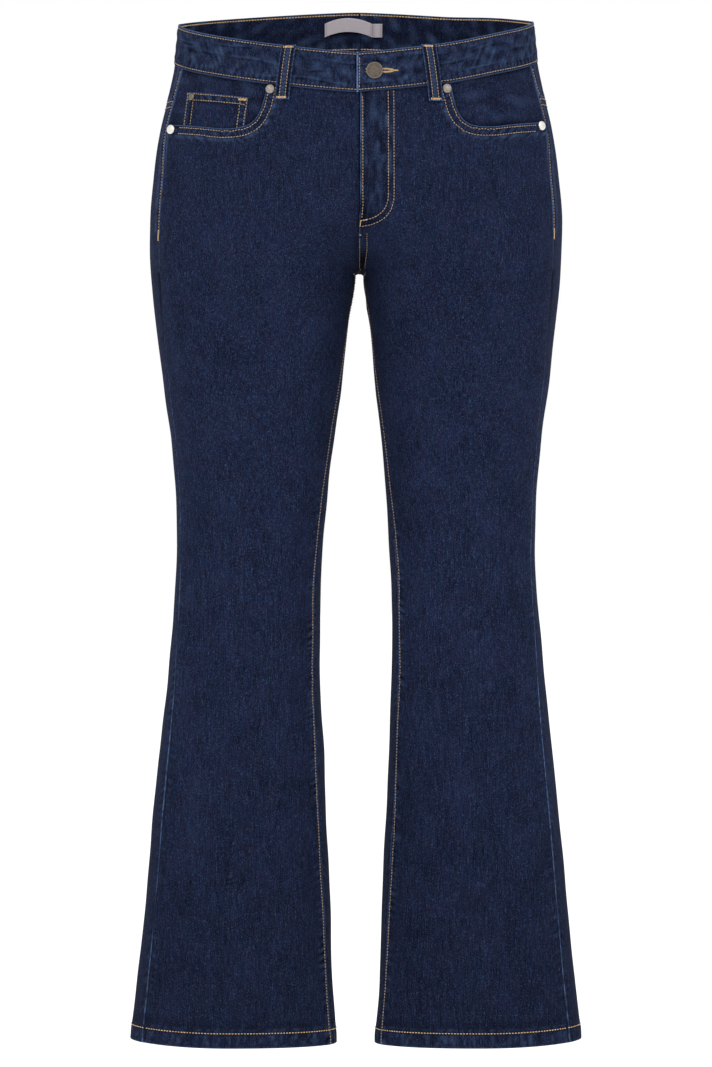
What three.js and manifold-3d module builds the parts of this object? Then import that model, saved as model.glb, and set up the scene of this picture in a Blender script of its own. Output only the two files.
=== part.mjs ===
// Bootcut jeans, standing hollow as if worn: every cut piece is a thin closed wall of its own.
// Millimetres, +Z up. The front faces -Y, and the wearer's left is +X.
// The origin is the centre of the waist ring, where the garment is held up.
import * as THREE from "three";
import Module from "manifold-3d";
import { mergeVertices } from "three/addons/utils/BufferGeometryUtils.js";

const wasm = await Module();
wasm.setup();

// ---- Cloth and seams ----
const CLOTH = 1.2; // denim, one layer
const SEAM_GAP = 0.3; // between neighbouring pieces
const HALF_GAP = SEAM_GAP / 2;
const SEAM_TURN = 0.09; // degrees round a leg that make half a seam gap
const BAND_PROUD = 0.9; // the waistband's face stands this far out of the panels
const BAND_THICK = 2.6;
const BAND_HEIGHT = 42.2;
const HEM_THICK = 2.8;
const HEM_HEIGHT = 16.8;

// ---- Crotch and the rise above it ----
const CROTCH = -234;
const RISE_HEIGHT = 85; // over this height the two legs grow into one trunk
const RISE_POWER = 4;
const SADDLE = { half: 5.3, opens: 1.5, closes: 130 }; // the legs part this far at once, under the crotch
const LEG_ROUND = 2 / 2.15; // superellipse powers of the sections
const TRUNK_SQUARE = 2.4;

// ---- Body sections, from the waist down ----
// height: z. outer, inner: reach of one leg from the centre line. front, back: reach along y.
// outseam: degrees that the side seam lies in front of the outermost line.
// inseam: degrees that the inner seam lies in front of the innermost line.
const SECTION_COLUMNS = ["height", "outer", "inner", "front", "back", "outseam", "inseam"];
const SECTION_ROWS = [
  [60, 184, 0, -98, 98, 28.5, 0],
  [25, 187.7, 0, -100, 101, 28.5, 0],
  [-12, 191.7, 0, -103, 106, 28.5, 0],
  [-46, 198.5, 0, -106, 112, 26.5, 0],
  [-84, 207.6, 0, -109, 119, 24.6, 0],
  [-135, 215, 0, -111, 126, 28.6, 0],
  [-186, 218.7, 0, -110, 126, 28.8, 0],
  [-234, 217.5, 0, -102, 116, 28.2, 0],
  [-284, 212.7, 8, -93, 101, 26.5, 7],
  [-347, 204.4, 17, -84, 87, 25, 12],
  [-411, 195.8, 24.9, -76, 75, 23, 17],
  [-475, 191, 31.2, -69, 65, 22, 22],
  [-522, 190, 34.7, -66, 60, 23, 25],
  [-570, 192.1, 37.5, -65, 61, 25, 26],
  [-634, 197.3, 38, -63, 65, 28, 26],
  [-729, 206.8, 34.7, -61, 68, 31, 26],
  [-856, 219.6, 29.8, -59, 65, 31, 24],
  [-983, 232.2, 24.3, -58, 62, 31, 21],
  [-1060, 239, 20, -58, 62, 31, 20],
];
const SECTIONS = SECTION_ROWS.map((row) =>
  Object.fromEntries(SECTION_COLUMNS.map((column, index) => [column, row[index]])));

// The middle of the front and of the crotch lies a little to the wearer's left.
const LOW_DRIFT = 3.2; // at the crotch
const CENTRE_DRIFT = 4.5; // from the waist to the foot of the fly
const DRIFT_END = -600; // height where the drift has died away
const DRIFT_STEP = { low: -190, reach: 26 }; // between the two, at the foot of the fly

// ---- Waist ----
const RIM = { front: -10.9, side: 30.2, back: 54.2, frontPower: 1.08, backPower: 1.2 };
// The wearer's left hip stands a little higher.
const LEAN = { rise: 2.8, start: 90, reach: 70, low: -300, fades: 160 };
const YOKE = { side: -53, centre: -62 };
const HEM = { low: -1049.3, lift: 4.5 };

// ---- Front pocket mouth: a curve from the waist seam, then a line to the side seam ----
const MOUTH = {
  start: [95, -44], bend: [[102, -84], [110.5, -90.5]], turned: [144, -89], end: [190, -82],
};
const MOUTH_SHIFT = 3; // both mouths lie this far to the wearer's left
const FACING = { inside: 78, bottom: -110, depth: 2.7, thick: 1 };
const COIN = {
  depth: 1.5, thick: 0.9,
  outline: [[-178, -47.5], [-112.5, -57], [-118, -102], [-184.5, -102]],
};

// ---- Back pockets ----
const BACK_POCKET = { middle: 100, top: -76, wide: 142, narrow: 122, side: 128, point: 22, tilt: 4 };

// ---- Waistband ends, fly and fastening ----
const OVERLAP_END = 0.6; // x where the top end stops
const UNDERLAP_END = 39.6; // x where the lower end stops
const UNDERLAP_DROP = BAND_THICK + 0.4;
const OVERLAP_STEP = 6; // the lower end steps in over this stretch
const ZIP = { from: -13, to: 13, bottom: -170, depth: CLOTH + 2 * SEAM_GAP, thick: 1 };
const SHIELD = { from: -22, to: 34, bottom: -182, depth: CLOTH + 3 * SEAM_GAP + 1, thick: CLOTH };
const FLY_TOP = -57; // both end just under the waistband
const BUTTON = { x: 19.2, z: -30.6, radius: 8.6 };
const RIVETS = [
  { name: "rivet_inner_right", x: -89, z: -49.2, radius: 4.8 },
  { name: "rivet_inner_left", x: 94.2, z: -48.6, radius: 4.8 },
  { name: "rivet_outer_right", x: -193.2, z: -86.6, radius: 4.8 },
  { name: "rivet_outer_left", x: 193.4, z: -85.6, radius: 4.8 },
];
const COIN_RIVET = { name: "rivet_coin", x: -172, z: -53.6, radius: 3.8 };

// ---- Belt loops ----
const LOOP = { width: 15, thick: 1.8 };
// Name, middle at the top and at the foot, how far it goes down past the band, and its side.
const LOOP_ROWS = [
  ["loop_front_right", -69.4, -76.5, 14.5, true],
  ["loop_front_left", 75, 82.8, 17, true],
  ["loop_side_right", -134, -138, 13, false],
  ["loop_side_left", 134, 138, 13, false],
  ["loop_centre_back", 0, 0, 13, false],
];
// How far down the loop, as a fraction, and how far it stands there off what is behind it.
const LOOP_STAND = [
  [0, 0.35], [0.09, 0.35], [0.2, 1.9], [0.5, 2.7], [0.76, 1.9], [0.88, 0.35], [1, 0.35],
];

// ---- Label inside the back of the waistband ----
const LABEL = { left: -38.5, right: 13, height: 14.6, top: 42, arch: 6, thick: 1 };
const SIZE_TAB = { left: 13.3, right: 24 };

const DENIM = { color: 0x1d2440, roughness: 0.9, metalness: 0 };
const FACE_DENIM = { color: 0x222a4a, roughness: 0.9, metalness: 0 };
const NICKEL = { color: 0x97908a, roughness: 0.4, metalness: 0.9 };
const PALE_NICKEL = { color: 0xdfdbd2, roughness: 0.35, metalness: 0.8 };
const OLD_BRASS = { color: 0x6f6250, roughness: 0.45, metalness: 0.9 };
const GUNMETAL = { color: 0x5f564d, roughness: 0.4, metalness: 0.9 };
const RIBBON = { color: 0xbeb6bc, roughness: 0.7, metalness: 0 };
const ZIP_TAPE = { color: 0x22253a, roughness: 0.7, metalness: 0.1 };

const radians = THREE.MathUtils.degToRad;
const lerp = THREE.MathUtils.lerp;
const clamp = THREE.MathUtils.clamp;

function spaced(from, to, count) {
  return Array.from({ length: count + 1 }, (_, index) => lerp(from, to, index / count));
}

// A smooth curve through the section table that never overshoots between two rows.
function sectionAt(height) {
  const last = SECTIONS.length - 2;
  let row = 0;
  while (row < last && height < SECTIONS[row + 1].height) row += 1;
  const upper = SECTIONS[row];
  const lower = SECTIONS[row + 1];
  const step = upper.height - lower.height;
  const t = clamp((upper.height - height) / step, 0, 1);
  const section = {};
  for (const column of SECTION_COLUMNS) {
    const from = slopeAt(row, column) * step;
    const to = slopeAt(row + 1, column) * step;
    const rise = lower[column] - upper[column];
    section[column] = upper[column] + from * t
      + (3 * rise - 2 * from - to) * t * t + (from + to - 2 * rise) * t * t * t;
  }
  section.height = height;
  return section;
}

function slopeAt(row, column) {
  if (row === 0 || row === SECTIONS.length - 1) return 0;
  const [above, here, below] = [SECTIONS[row - 1], SECTIONS[row], SECTIONS[row + 1]];
  const first = (here[column] - above[column]) / (above.height - here.height);
  const second = (below[column] - here[column]) / (here.height - below.height);
  if (first * second <= 0) return 0;
  return (2 * first * second) / (first + second);
}

function signedPower(value, power) {
  return Math.sign(value) * Math.abs(value) ** power;
}

// How far the two legs have grown together: 0 at the crotch, 1 over the hips.
function joinAt(height) {
  const s = clamp((height - CROTCH) / RISE_HEIGHT, 0, 1);
  return Math.sqrt(1 - (1 - s) ** 2);
}

function saddleAt(height) {
  const below = CROTCH - height;
  if (below <= 0 || below > SADDLE.closes) return 0;
  return SADDLE.half * Math.sqrt(Math.min(1, below / SADDLE.opens)) * (1 - below / SADDLE.closes);
}

function smooth(t) {
  const s = clamp(t, 0, 1);
  return s * s * (3 - 2 * s);
}

function driftAt(height) {
  const low = LOW_DRIFT * smooth((height - DRIFT_END) / (CROTCH - DRIFT_END));
  return low + (CENTRE_DRIFT - LOW_DRIFT) * smooth((height - DRIFT_STEP.low) / DRIFT_STEP.reach);
}

function leanAt(x, height) {
  const across = smooth((x - LEAN.start) / LEAN.reach);
  return LEAN.rise * across * smooth((height - LEAN.low) / LEAN.fades);
}

// The outer face of the garment. turn is in degrees round one leg: -90 the inside, 0 the front,
// 90 the outside, 180 the back, 270 the inside again.
function bodyPoint(side, turn, height) {
  const section = sectionAt(height);
  const middle = (section.outer + section.inner) / 2;
  const half = (section.outer - section.inner) / 2;
  const across = signedPower(Math.sin(radians(turn)), LEG_ROUND);
  const leg = Math.abs(Math.cos(radians(turn))) ** LEG_ROUND;
  const parting = across < 0 ? saddleAt(height) * (1 - leg) ** 2 : 0;
  const x = Math.max(middle + half * across + parting, HALF_GAP);
  const trunk = (1 - Math.min(1, x / section.outer) ** TRUNK_SQUARE) ** (1 / TRUNK_SQUARE);
  const join = joinAt(height) ** RISE_POWER;
  const reach = ((1 - join) * leg ** RISE_POWER + join * trunk ** RISE_POWER) ** (1 / RISE_POWER);
  const depth = (section.front + section.back) / 2;
  const onFront = turn < 90 || turn > 270;
  const y = depth + reach * ((onFront ? section.front : section.back) - depth);
  const nearCrotch = Math.abs(y - depth) < HALF_GAP ? HALF_GAP * (onFront ? -1 : 1) : 0;
  const placed = side * x + driftAt(height) * (1 - (x / section.outer) ** 2);
  return new THREE.Vector3(placed, y + nearCrotch, height + leanAt(placed, height));
}

// The turn at which the outer face has the given x, on the front or on the back.
function turnAt(side, x, height, onFront) {
  let low = onFront ? -90 : 270;
  let high = 90;
  for (let pass = 0; pass < 30; pass += 1) {
    const middle = (low + high) / 2;
    if (side * bodyPoint(side, middle, height).x < side * x) low = middle;
    else high = middle;
  }
  return (low + high) / 2;
}

function rimHeight(side, turn) {
  const guess = 20;
  const section = sectionAt(guess);
  const fraction = clamp(side * bodyPoint(side, turn, guess).x / section.outer, 0, 1);
  const round = Math.asin(fraction ** (TRUNK_SQUARE / 2)) / (Math.PI / 2);
  if (turn < 90) return RIM.front + (RIM.side - RIM.front) * round ** RIM.frontPower;
  return RIM.back + (RIM.side - RIM.back) * round ** RIM.backPower;
}

function waistSeam(side, turn) {
  return rimHeight(side, turn) - BAND_HEIGHT;
}

function yokeSeam(side, turn) {
  const section = sectionAt(YOKE.side);
  const fraction = clamp(side * bodyPoint(side, turn, YOKE.side).x / section.outer, 0, 1);
  return lerp(YOKE.centre, YOKE.side, fraction);
}

function hemHeight(turn) {
  return HEM.low + HEM.lift * Math.max(0, Math.sin(radians(turn))) ** 2;
}

const mouthCurve = new THREE.CubicBezierCurve(
  new THREE.Vector2(...MOUTH.start), new THREE.Vector2(...MOUTH.bend[0]),
  new THREE.Vector2(...MOUTH.bend[1]), new THREE.Vector2(...MOUTH.turned));

// Height of the pocket mouth's edge at a distance x from the centre line.
function mouthHeight(x) {
  const [startX] = MOUTH.start;
  const [turnedX, turnedZ] = MOUTH.turned;
  const [endX, endZ] = MOUTH.end;
  if (x <= startX) return Infinity;
  if (x >= turnedX) return lerp(turnedZ, endZ, (x - turnedX) / (endX - turnedX));
  let [low, high] = [0, 1];
  for (let pass = 0; pass < 30; pass += 1) {
    const middle = (low + high) / 2;
    if (mouthCurve.getPoint(middle).x < x) low = middle;
    else high = middle;
  }
  return mouthCurve.getPoint(low).y;
}

// ---- Walls ----

const EDGE_TURNS = [-90 + SEAM_TURN, 270 - SEAM_TURN];
const NORMAL_TURN = 4; // degrees and mm between the points that give a normal
const NORMAL_RISE = 0.75;

// One point of the outer face, with the way out of the cloth there.
function skin(side, turn, height) {
  const point = bodyPoint(side, turn, height);
  const ends = height > CROTCH - 1 ? EDGE_TURNS : [-180, 360];
  const turnOf = (by) => clamp(turn + by, ...ends);
  const along = bodyPoint(side, turnOf(NORMAL_TURN), height)
    .sub(bodyPoint(side, turnOf(-NORMAL_TURN), height));
  const up = bodyPoint(side, turn, height + NORMAL_RISE)
    .sub(bodyPoint(side, turn, height - NORMAL_RISE));
  const normal = along.cross(up).multiplyScalar(side);
  const onCentre = Math.abs(point.x - driftAt(height)) < 1.1 * HALF_GAP && height > CROTCH - 1;
  if (onCentre) normal.setX(0);
  return { point, normal: normal.normalize() };
}

function faceSkin(x, height, onFront) {
  const side = x < driftAt(height) ? -1 : 1;
  return skin(side, turnAt(side, x, height, onFront), height);
}

function moved({ point, normal }, distance) {
  return point.clone().addScaledVector(normal, distance);
}

function transposed(columns) {
  return columns[0].map((_, row) => columns.map((column) => column[row]));
}

// A closed wall between two grids of points.
function wallBetween(outer, inner) {
  const rows = outer.length;
  const columns = outer[0].length;
  const positions = [...outer.flat(), ...inner.flat()].flatMap((point) => point.toArray());
  const layer = rows * columns;
  const at = (row, column, side) => side * layer + row * columns + column;
  const faces = [];
  const quad = (a, b, c, d) => faces.push(a, b, c, a, c, d);
  for (let row = 0; row < rows - 1; row += 1) {
    for (let column = 0; column < columns - 1; column += 1) {
      const [r, c] = [row + 1, column + 1];
      quad(at(row, column, 0), at(row, c, 0), at(r, c, 0), at(r, column, 0));
      quad(at(row, column, 1), at(r, column, 1), at(r, c, 1), at(row, c, 1));
    }
  }
  for (let column = 0; column < columns - 1; column += 1) {
    const [top, c] = [rows - 1, column + 1];
    quad(at(0, column, 0), at(0, column, 1), at(0, c, 1), at(0, c, 0));
    quad(at(top, column, 0), at(top, c, 0), at(top, c, 1), at(top, column, 1));
  }
  for (let row = 0; row < rows - 1; row += 1) {
    const [end, r] = [columns - 1, row + 1];
    quad(at(row, 0, 0), at(r, 0, 0), at(r, 0, 1), at(row, 0, 1));
    quad(at(row, end, 0), at(row, end, 1), at(r, end, 1), at(r, end, 0));
  }
  return facingOut(positions, faces);
}

function facingOut(positions, faces) {
  let volume = 0;
  const corner = (index) => new THREE.Vector3().fromArray(positions, 3 * index);
  for (let face = 0; face < faces.length; face += 3) {
    const [a, b, c] = [corner(faces[face]), corner(faces[face + 1]), corner(faces[face + 2])];
    volume += a.dot(b.cross(c));
  }
  if (volume < 0) {
    for (let face = 0; face < faces.length; face += 3) {
      [faces[face + 1], faces[face + 2]] = [faces[face + 2], faces[face + 1]];
    }
  }
  const geometry = new THREE.BufferGeometry();
  geometry.setAttribute("position", new THREE.Float32BufferAttribute(positions, 3));
  geometry.setIndex(faces);
  geometry.computeVertexNormals();
  return geometry;
}

// A wall whose outer face lies a distance out of a grid of skin points. A distance or a thickness
// is a number, or a function of the row and the column.
function wall(grid, out, thick) {
  const value = (size, row, column) => (typeof size === "function" ? size(row, column) : size);
  const layer = (distance) => grid.map((line, row) =>
    line.map((cell, column) => moved(cell, distance(row, column))));
  const outer = layer((row, column) => value(out, row, column));
  const inner = layer((row, column) => value(out, row, column) - value(thick, row, column));
  return wallBetween(outer, inner);
}

function named(name, geometry, finish) {
  const mesh = new THREE.Mesh(geometry, new THREE.MeshStandardMaterial(finish));
  mesh.name = name;
  return mesh;
}

// ---- Cuts ----

function solidOf(geometry) {
  const bare = geometry.clone();
  bare.deleteAttribute("normal");
  bare.deleteAttribute("uv");
  const merged = mergeVertices(bare);
  return new wasm.Manifold(new wasm.Mesh({
    numProp: 3,
    vertProperties: merged.attributes.position.array,
    triVerts: new Uint32Array(merged.index.array),
  }));
}

function geometryOf(solid) {
  const mesh = solid.getMesh();
  const geometry = new THREE.BufferGeometry();
  geometry.setAttribute("position", new THREE.BufferAttribute(mesh.vertProperties, 3));
  geometry.setIndex([...mesh.triVerts]);
  geometry.computeVertexNormals();
  return geometry;
}

const CUT_REACH = 300;

// A prism through the front or the back half, from an outline of x and z.
function cutter(outline, onFront) {
  const shape = new THREE.Shape(outline.map(([x, z]) => new THREE.Vector2(x, z)));
  const prism = new THREE.ExtrudeGeometry(shape, { depth: CUT_REACH, bevelEnabled: false });
  prism.rotateX(Math.PI / 2).translate(0, onFront ? 0 : CUT_REACH, 0);
  return solidOf(prism);
}

function cutAway(geometry, outline) {
  return geometryOf(solidOf(geometry).subtract(cutter(outline, true)));
}

function cutTo(geometry, outline, onFront) {
  return geometryOf(solidOf(geometry).intersect(cutter(outline, onFront)));
}

const SIDES = [{ word: "right", side: -1 }, { word: "left", side: 1 }];

// ---- Leg panels ----
const HEM_STEP = 1;
const LEG_HEIGHTS = [
  -983, -920, -856, -793, -729, -660, -595, -535, -475, -411, -347, -290, -255, -237.5, -235,
  CROTCH, -231.5, -225, -212, -180, -140, -105,
];
const EVEN_TOP = LEG_HEIGHTS[LEG_HEIGHTS.length - 1];
const TOP_ROWS = 3;
const HEM_ROWS = 2;
const FRACTIONS = spaced(0, 1, 12);

function frontTurn(fraction, height) {
  const section = sectionAt(height);
  return lerp(-90 + section.inseam + SEAM_TURN, 90 - section.outseam - SEAM_TURN, fraction);
}

function backTurn(fraction, height) {
  const section = sectionAt(height);
  return lerp(90 - section.outseam + SEAM_TURN, 270 + section.inseam - SEAM_TURN, fraction);
}

// The grid of a front or back panel, from the hem to the seam that ends it.
function legGrid(side, turnOf, seamOf) {
  return transposed(FRACTIONS.map((fraction) => {
    const low = hemHeight(turnOf(fraction, HEM.low));
    const hem = [low, low + HEM_HEIGHT, low + HEM_HEIGHT + HEM_STEP];
    const top = spaced(EVEN_TOP, seamOf(side, fraction) - HALF_GAP, TOP_ROWS).slice(1);
    return [...hem, ...LEG_HEIGHTS, ...top].map((height) =>
      skin(side, turnOf(fraction, height), height));
  }));
}

function legWall(grid) {
  return wall(grid, 0, (row) => (row < HEM_ROWS ? HEM_THICK : CLOTH));
}

// Seams as heights along a panel's columns.
const SEAM_PASSES = 6;

function frontWaist(side, fraction) {
  let height = -40;
  for (let pass = 0; pass < SEAM_PASSES; pass += 1) {
    height = waistSeam(side, frontTurn(fraction, height));
  }
  return height;
}

function backWaist(side, fraction) {
  let height = -10;
  for (let pass = 0; pass < SEAM_PASSES; pass += 1) {
    height = waistSeam(side, backTurn(fraction, height));
  }
  return height;
}

function backYoke(side, fraction) {
  return yokeSeam(side, backTurn(fraction, YOKE.side));
}

const FRONT_GRID = {
  right: legGrid(-1, frontTurn, frontWaist),
  left: legGrid(1, frontTurn, frontWaist),
};
const BACK_GRID = {
  right: legGrid(-1, backTurn, backYoke),
  left: legGrid(1, backTurn, backYoke),
};
const FAR = 260; // past everything

function leaned([x, z]) {
  return [x, z + leanAt(x, z)];
}

// What the pocket mouth takes out of a front panel.
function mouthOutline(side) {
  const curve = mouthCurve.getPoints(8).map((point) => [point.x, point.y]);
  const [startX, startZ] = MOUTH.start;
  const [endX, endZ] = MOUTH.end;
  const inside = [[startX - 1, FAR], [startX - 1, startZ + 1]];
  const outside = [[endX, endZ], [FAR, endZ + 1], [FAR, FAR]];
  const outline = [...inside, ...curve, ...outside];
  return outline.map(([x, z]) => leaned([side * x + MOUTH_SHIFT, z]));
}

function frontPanel({ word, side }) {
  const panel = cutAway(legWall(FRONT_GRID[word]), mouthOutline(side));
  return named(`front_leg_${word}`, panel, DENIM);
}

function backPanel({ word }) {
  return named(`back_leg_${word}`, legWall(BACK_GRID[word]), DENIM);
}

function yoke({ word, side }) {
  const grid = transposed(FRACTIONS.map((fraction) => {
    const low = backYoke(side, fraction) + HALF_GAP;
    const high = backWaist(side, fraction) - HALF_GAP;
    return spaced(low, high, 3).map((height) => skin(side, backTurn(fraction, height), height));
  }));
  return named(`yoke_${word}`, wall(grid, 0, CLOTH), DENIM);
}

// ---- Pockets, from the panels' own points, moved in or out ----
const SPARE = { facing: 31, pocket: 30, fly: 40 }; // cloth kept below a piece's lowest point until it is cut
const FLY_COLUMNS = 6; // columns of the front panels that the fly pieces lie behind

function upperRows(grid, lowest) {
  return grid.filter((line) => line[0].point.z > lowest);
}

function pocketFacing({ word, side }) {
  const layer = wall(upperRows(FRONT_GRID[word], FACING.bottom - SPARE.facing), -FACING.depth, FACING.thick);
  const { inside, bottom } = FACING;
  const outline = [[inside, bottom], [FAR, bottom], [FAR, FAR], [inside, FAR]];
  const cut = cutTo(layer, outline.map(([x, z]) => leaned([side * x, z])), true);
  return named(`pocket_facing_${word}`, cut, DENIM);
}

function coinPocket() {
  const layer = wall(upperRows(FRONT_GRID.right, FACING.bottom - SPARE.facing), -COIN.depth, COIN.thick);
  return named("coin_pocket", cutTo(layer, COIN.outline, true), DENIM);
}

function backPocket({ word, side }) {
  const { middle, top, wide, narrow, side: tall, point, tilt } = BACK_POCKET;
  const outline = [
    [middle - wide / 2, top - tilt], [middle + wide / 2, top + tilt],
    [middle + narrow / 2, top - tall + tilt], [middle, top - tall - point],
    [middle - narrow / 2, top - tall - tilt],
  ];
  const lowest = top - tall - point - tilt - SPARE.pocket;
  const layer = wall(upperRows(BACK_GRID[word], lowest), SEAM_GAP + CLOTH, CLOTH);
  const cut = cutTo(layer, outline.map(([x, z]) => leaned([side * x, z])), false);
  return named(`back_pocket_${word}`, cut, DENIM);
}

// ---- Waistband ----
const BAND_ROWS = 2;

// One column of the waistband, over a column of the panels, from its seam to the rim.
function bandColumn(side, turnOf, seam) {
  return spaced(0, BAND_HEIGHT, BAND_ROWS).map((rise) =>
    skin(side, turnOf(seam + rise), seam + rise));
}

function bandHalf(side, from) {
  const front = FRACTIONS.filter((fraction) => fraction >= from).map((fraction) =>
    bandColumn(side, (height) => frontTurn(fraction, height), frontWaist(side, fraction) + HALF_GAP));
  const back = FRACTIONS.map((fraction) =>
    bandColumn(side, (height) => backTurn(fraction, height), backWaist(side, fraction) + HALF_GAP));
  return [...front, ...back];
}

// A column of the front at a given x.
function bandColumnAt(x) {
  const side = x < driftAt(RIM.front) ? -1 : 1;
  const turn = turnAt(side, x, RIM.front, true);
  return bandColumn(side, () => turn, waistSeam(side, turn) + HALF_GAP);
}

function waistbandLeft() {
  const columns = [bandColumnAt(OVERLAP_END), ...bandHalf(1, FRACTIONS[2])];
  return named("waistband_left", wall(transposed(columns), BAND_PROUD, BAND_THICK), FACE_DENIM);
}

// The wearer's right end runs on under the left one, a band's thickness further in.
function waistbandRight() {
  const under = [UNDERLAP_END, UNDERLAP_END / 2, OVERLAP_END].map(bandColumnAt);
  const over = [bandColumnAt(OVERLAP_END - OVERLAP_STEP), ...bandHalf(-1, FRACTIONS[3])];
  const out = (row, column) => (column < under.length ? BAND_PROUD - UNDERLAP_DROP : BAND_PROUD);
  const grid = transposed([...under, ...over]);
  return named("waistband_right", wall(grid, out, BAND_THICK), FACE_DENIM);
}

// ---- Fly, behind the two fronts ----
function flyStrip(name, { from, to, bottom, depth, thick }, finish) {
  const nearCentre = (grid) => upperRows(grid, bottom - SPARE.fly).map((line) => line.slice(0, FLY_COLUMNS));
  const right = nearCentre(FRONT_GRID.right).map((line) => line.reverse());
  const left = nearCentre(FRONT_GRID.left);
  const layer = wall(right.map((line, row) => [...line, ...left[row]]), -depth, thick);
  const corners = [[from, bottom], [to, bottom], [to, FLY_TOP], [from, FLY_TOP]];
  const outline = corners.map(([x, z]) => [x + CENTRE_DRIFT, z]);
  return named(name, cutTo(layer, outline, true), finish);
}

// ---- Belt loops ----
function beltLoop([name, top, bottom, below, onFront]) {
  const side = top < 0 ? -1 : 1;
  const drift = top === 0 ? CENTRE_DRIFT : 0;
  const rim = rimHeight(side, turnAt(side, top + drift, RIM.side, onFront));
  const foot = rim - BAND_HEIGHT - below;
  const grid = LOOP_STAND.map(([along]) => spaced(-0.5, 0.5, 2).map((across) => {
    const x = lerp(top, bottom, along) + across * LOOP.width + drift;
    return faceSkin(x, lerp(rim, foot, along), onFront);
  }));
  const face = (row) => BAND_PROUD + LOOP_STAND[row][1] + LOOP.thick;
  return named(name, wall(grid, face, LOOP.thick), DENIM);
}

// ---- Metal ----
function turned(name, profile, segments, { x, z }, lift, finish) {
  const points = profile.map(([radius, height]) => new THREE.Vector2(radius, height));
  const cell = faceSkin(x, z, true);
  const mesh = named(name, new THREE.LatheGeometry(points, segments), finish);
  mesh.position.copy(moved(cell, lift));
  mesh.quaternion.setFromUnitVectors(new THREE.Vector3(0, 1, 0), cell.normal);
  return mesh;
}

function rivet({ name, x, z, radius }, lift, finish) {
  const profile = [
    [0, 0], [radius, 0], [radius, 0.7], [radius * 0.8, 1.6], [radius * 0.45, 2.1], [0, 2.2],
  ];
  return turned(name, profile, 12, { x, z }, lift, finish);
}

function shankButton() {
  const r = BUTTON.radius;
  const stem = 3;
  const profile = [
    [0, 0], [stem, 0], [stem, 1], [r - 0.8, 1.1], [r, 1.8],
    [r, 2.6], [r - 0.9, 3.3], [r * 0.5, 3.6], [0, 3.7],
  ];
  return turned("button", profile, 20, BUTTON, BAND_PROUD + SEAM_GAP, GUNMETAL);
}

// ---- Label, on the inner face of the waistband at the back ----
function labelStrip(name, from, to) {
  const grid = spaced(0, 1, 2).map((rise) => spaced(from, to, 6).map((x) => {
    const reach = LABEL.right - LABEL.left;
    const middle = (LABEL.left + LABEL.right) / 2;
    const bow = Math.min(1, Math.abs(2 * (x - middle) / reach));
    const lift = LABEL.arch * (1 - bow ** 2);
    const z = LABEL.top + lift - LABEL.height * (1 - rise);
    return faceSkin(x + driftAt(z), z, false);
  }));
  const inset = BAND_PROUD - BAND_THICK - SEAM_GAP;
  return named(name, wall(grid, inset, LABEL.thick), RIBBON);
}

const jeans = new THREE.Group();
for (const half of SIDES) {
  jeans.add(frontPanel(half), backPanel(half), yoke(half), pocketFacing(half), backPocket(half));
}
jeans.add(coinPocket(), waistbandRight(), waistbandLeft());
jeans.add(flyStrip("zip", ZIP, ZIP_TAPE), flyStrip("fly_shield", SHIELD, DENIM));
LOOP_ROWS.forEach((row) => jeans.add(beltLoop(row)));
jeans.add(shankButton());
RIVETS.forEach((one) => {
  const finish = one.name.includes("outer") ? PALE_NICKEL : NICKEL;
  jeans.add(rivet(one, SEAM_GAP, finish));
});
jeans.add(rivet(COIN_RIVET, SEAM_GAP - COIN.depth, OLD_BRASS));
jeans.add(labelStrip("label", LABEL.left, LABEL.right));
jeans.add(labelStrip("size_tab", SIZE_TAB.left, SIZE_TAB.right));

export default jeans;
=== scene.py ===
"""Bootcut jeans that stand hollow, as if worn: cloth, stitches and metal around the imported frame.

Lengths in the tables are millimetres in the frame's own axes: +Z up, the front faces -Y, and the
wearer's left is +X. Meshes are made in metres. A turn is in degrees round one leg: -90 its inside,
0 its front, 90 its outside, 180 its back and 270 its inside again.
"""
import math

import bpy
import numpy as np
from bpy.props import FloatProperty, FloatVectorProperty, PointerProperty
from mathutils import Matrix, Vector
from mathutils.bvhtree import BVHTree


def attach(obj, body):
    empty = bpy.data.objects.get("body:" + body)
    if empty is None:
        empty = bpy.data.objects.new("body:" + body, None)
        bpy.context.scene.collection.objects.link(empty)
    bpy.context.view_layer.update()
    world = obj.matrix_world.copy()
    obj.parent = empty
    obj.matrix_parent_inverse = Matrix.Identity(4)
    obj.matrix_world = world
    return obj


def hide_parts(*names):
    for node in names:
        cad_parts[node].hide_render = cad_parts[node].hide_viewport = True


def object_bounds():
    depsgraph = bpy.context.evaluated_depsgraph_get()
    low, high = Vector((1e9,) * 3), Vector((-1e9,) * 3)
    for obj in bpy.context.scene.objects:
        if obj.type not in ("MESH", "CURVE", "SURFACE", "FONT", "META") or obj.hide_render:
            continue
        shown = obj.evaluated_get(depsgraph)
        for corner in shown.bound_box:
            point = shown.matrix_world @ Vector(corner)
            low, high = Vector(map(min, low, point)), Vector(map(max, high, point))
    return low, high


bl_info = {
    "name": "Bootcut Jeans",
    "version": (1, 0, 0),
    "blender": (4, 5, 0),
    "location": "3D View > Sidebar > Jeans",
    "description": "Builds bootcut jeans around a packed frame",
    "category": "Add Mesh",
}

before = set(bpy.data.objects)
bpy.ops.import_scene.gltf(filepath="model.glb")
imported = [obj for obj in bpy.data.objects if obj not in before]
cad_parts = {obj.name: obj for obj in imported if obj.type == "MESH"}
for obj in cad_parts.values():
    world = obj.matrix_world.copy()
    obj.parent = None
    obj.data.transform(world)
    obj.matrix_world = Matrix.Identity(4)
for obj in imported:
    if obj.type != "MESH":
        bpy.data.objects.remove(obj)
CAD_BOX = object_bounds()
MM = 0.001

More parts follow.
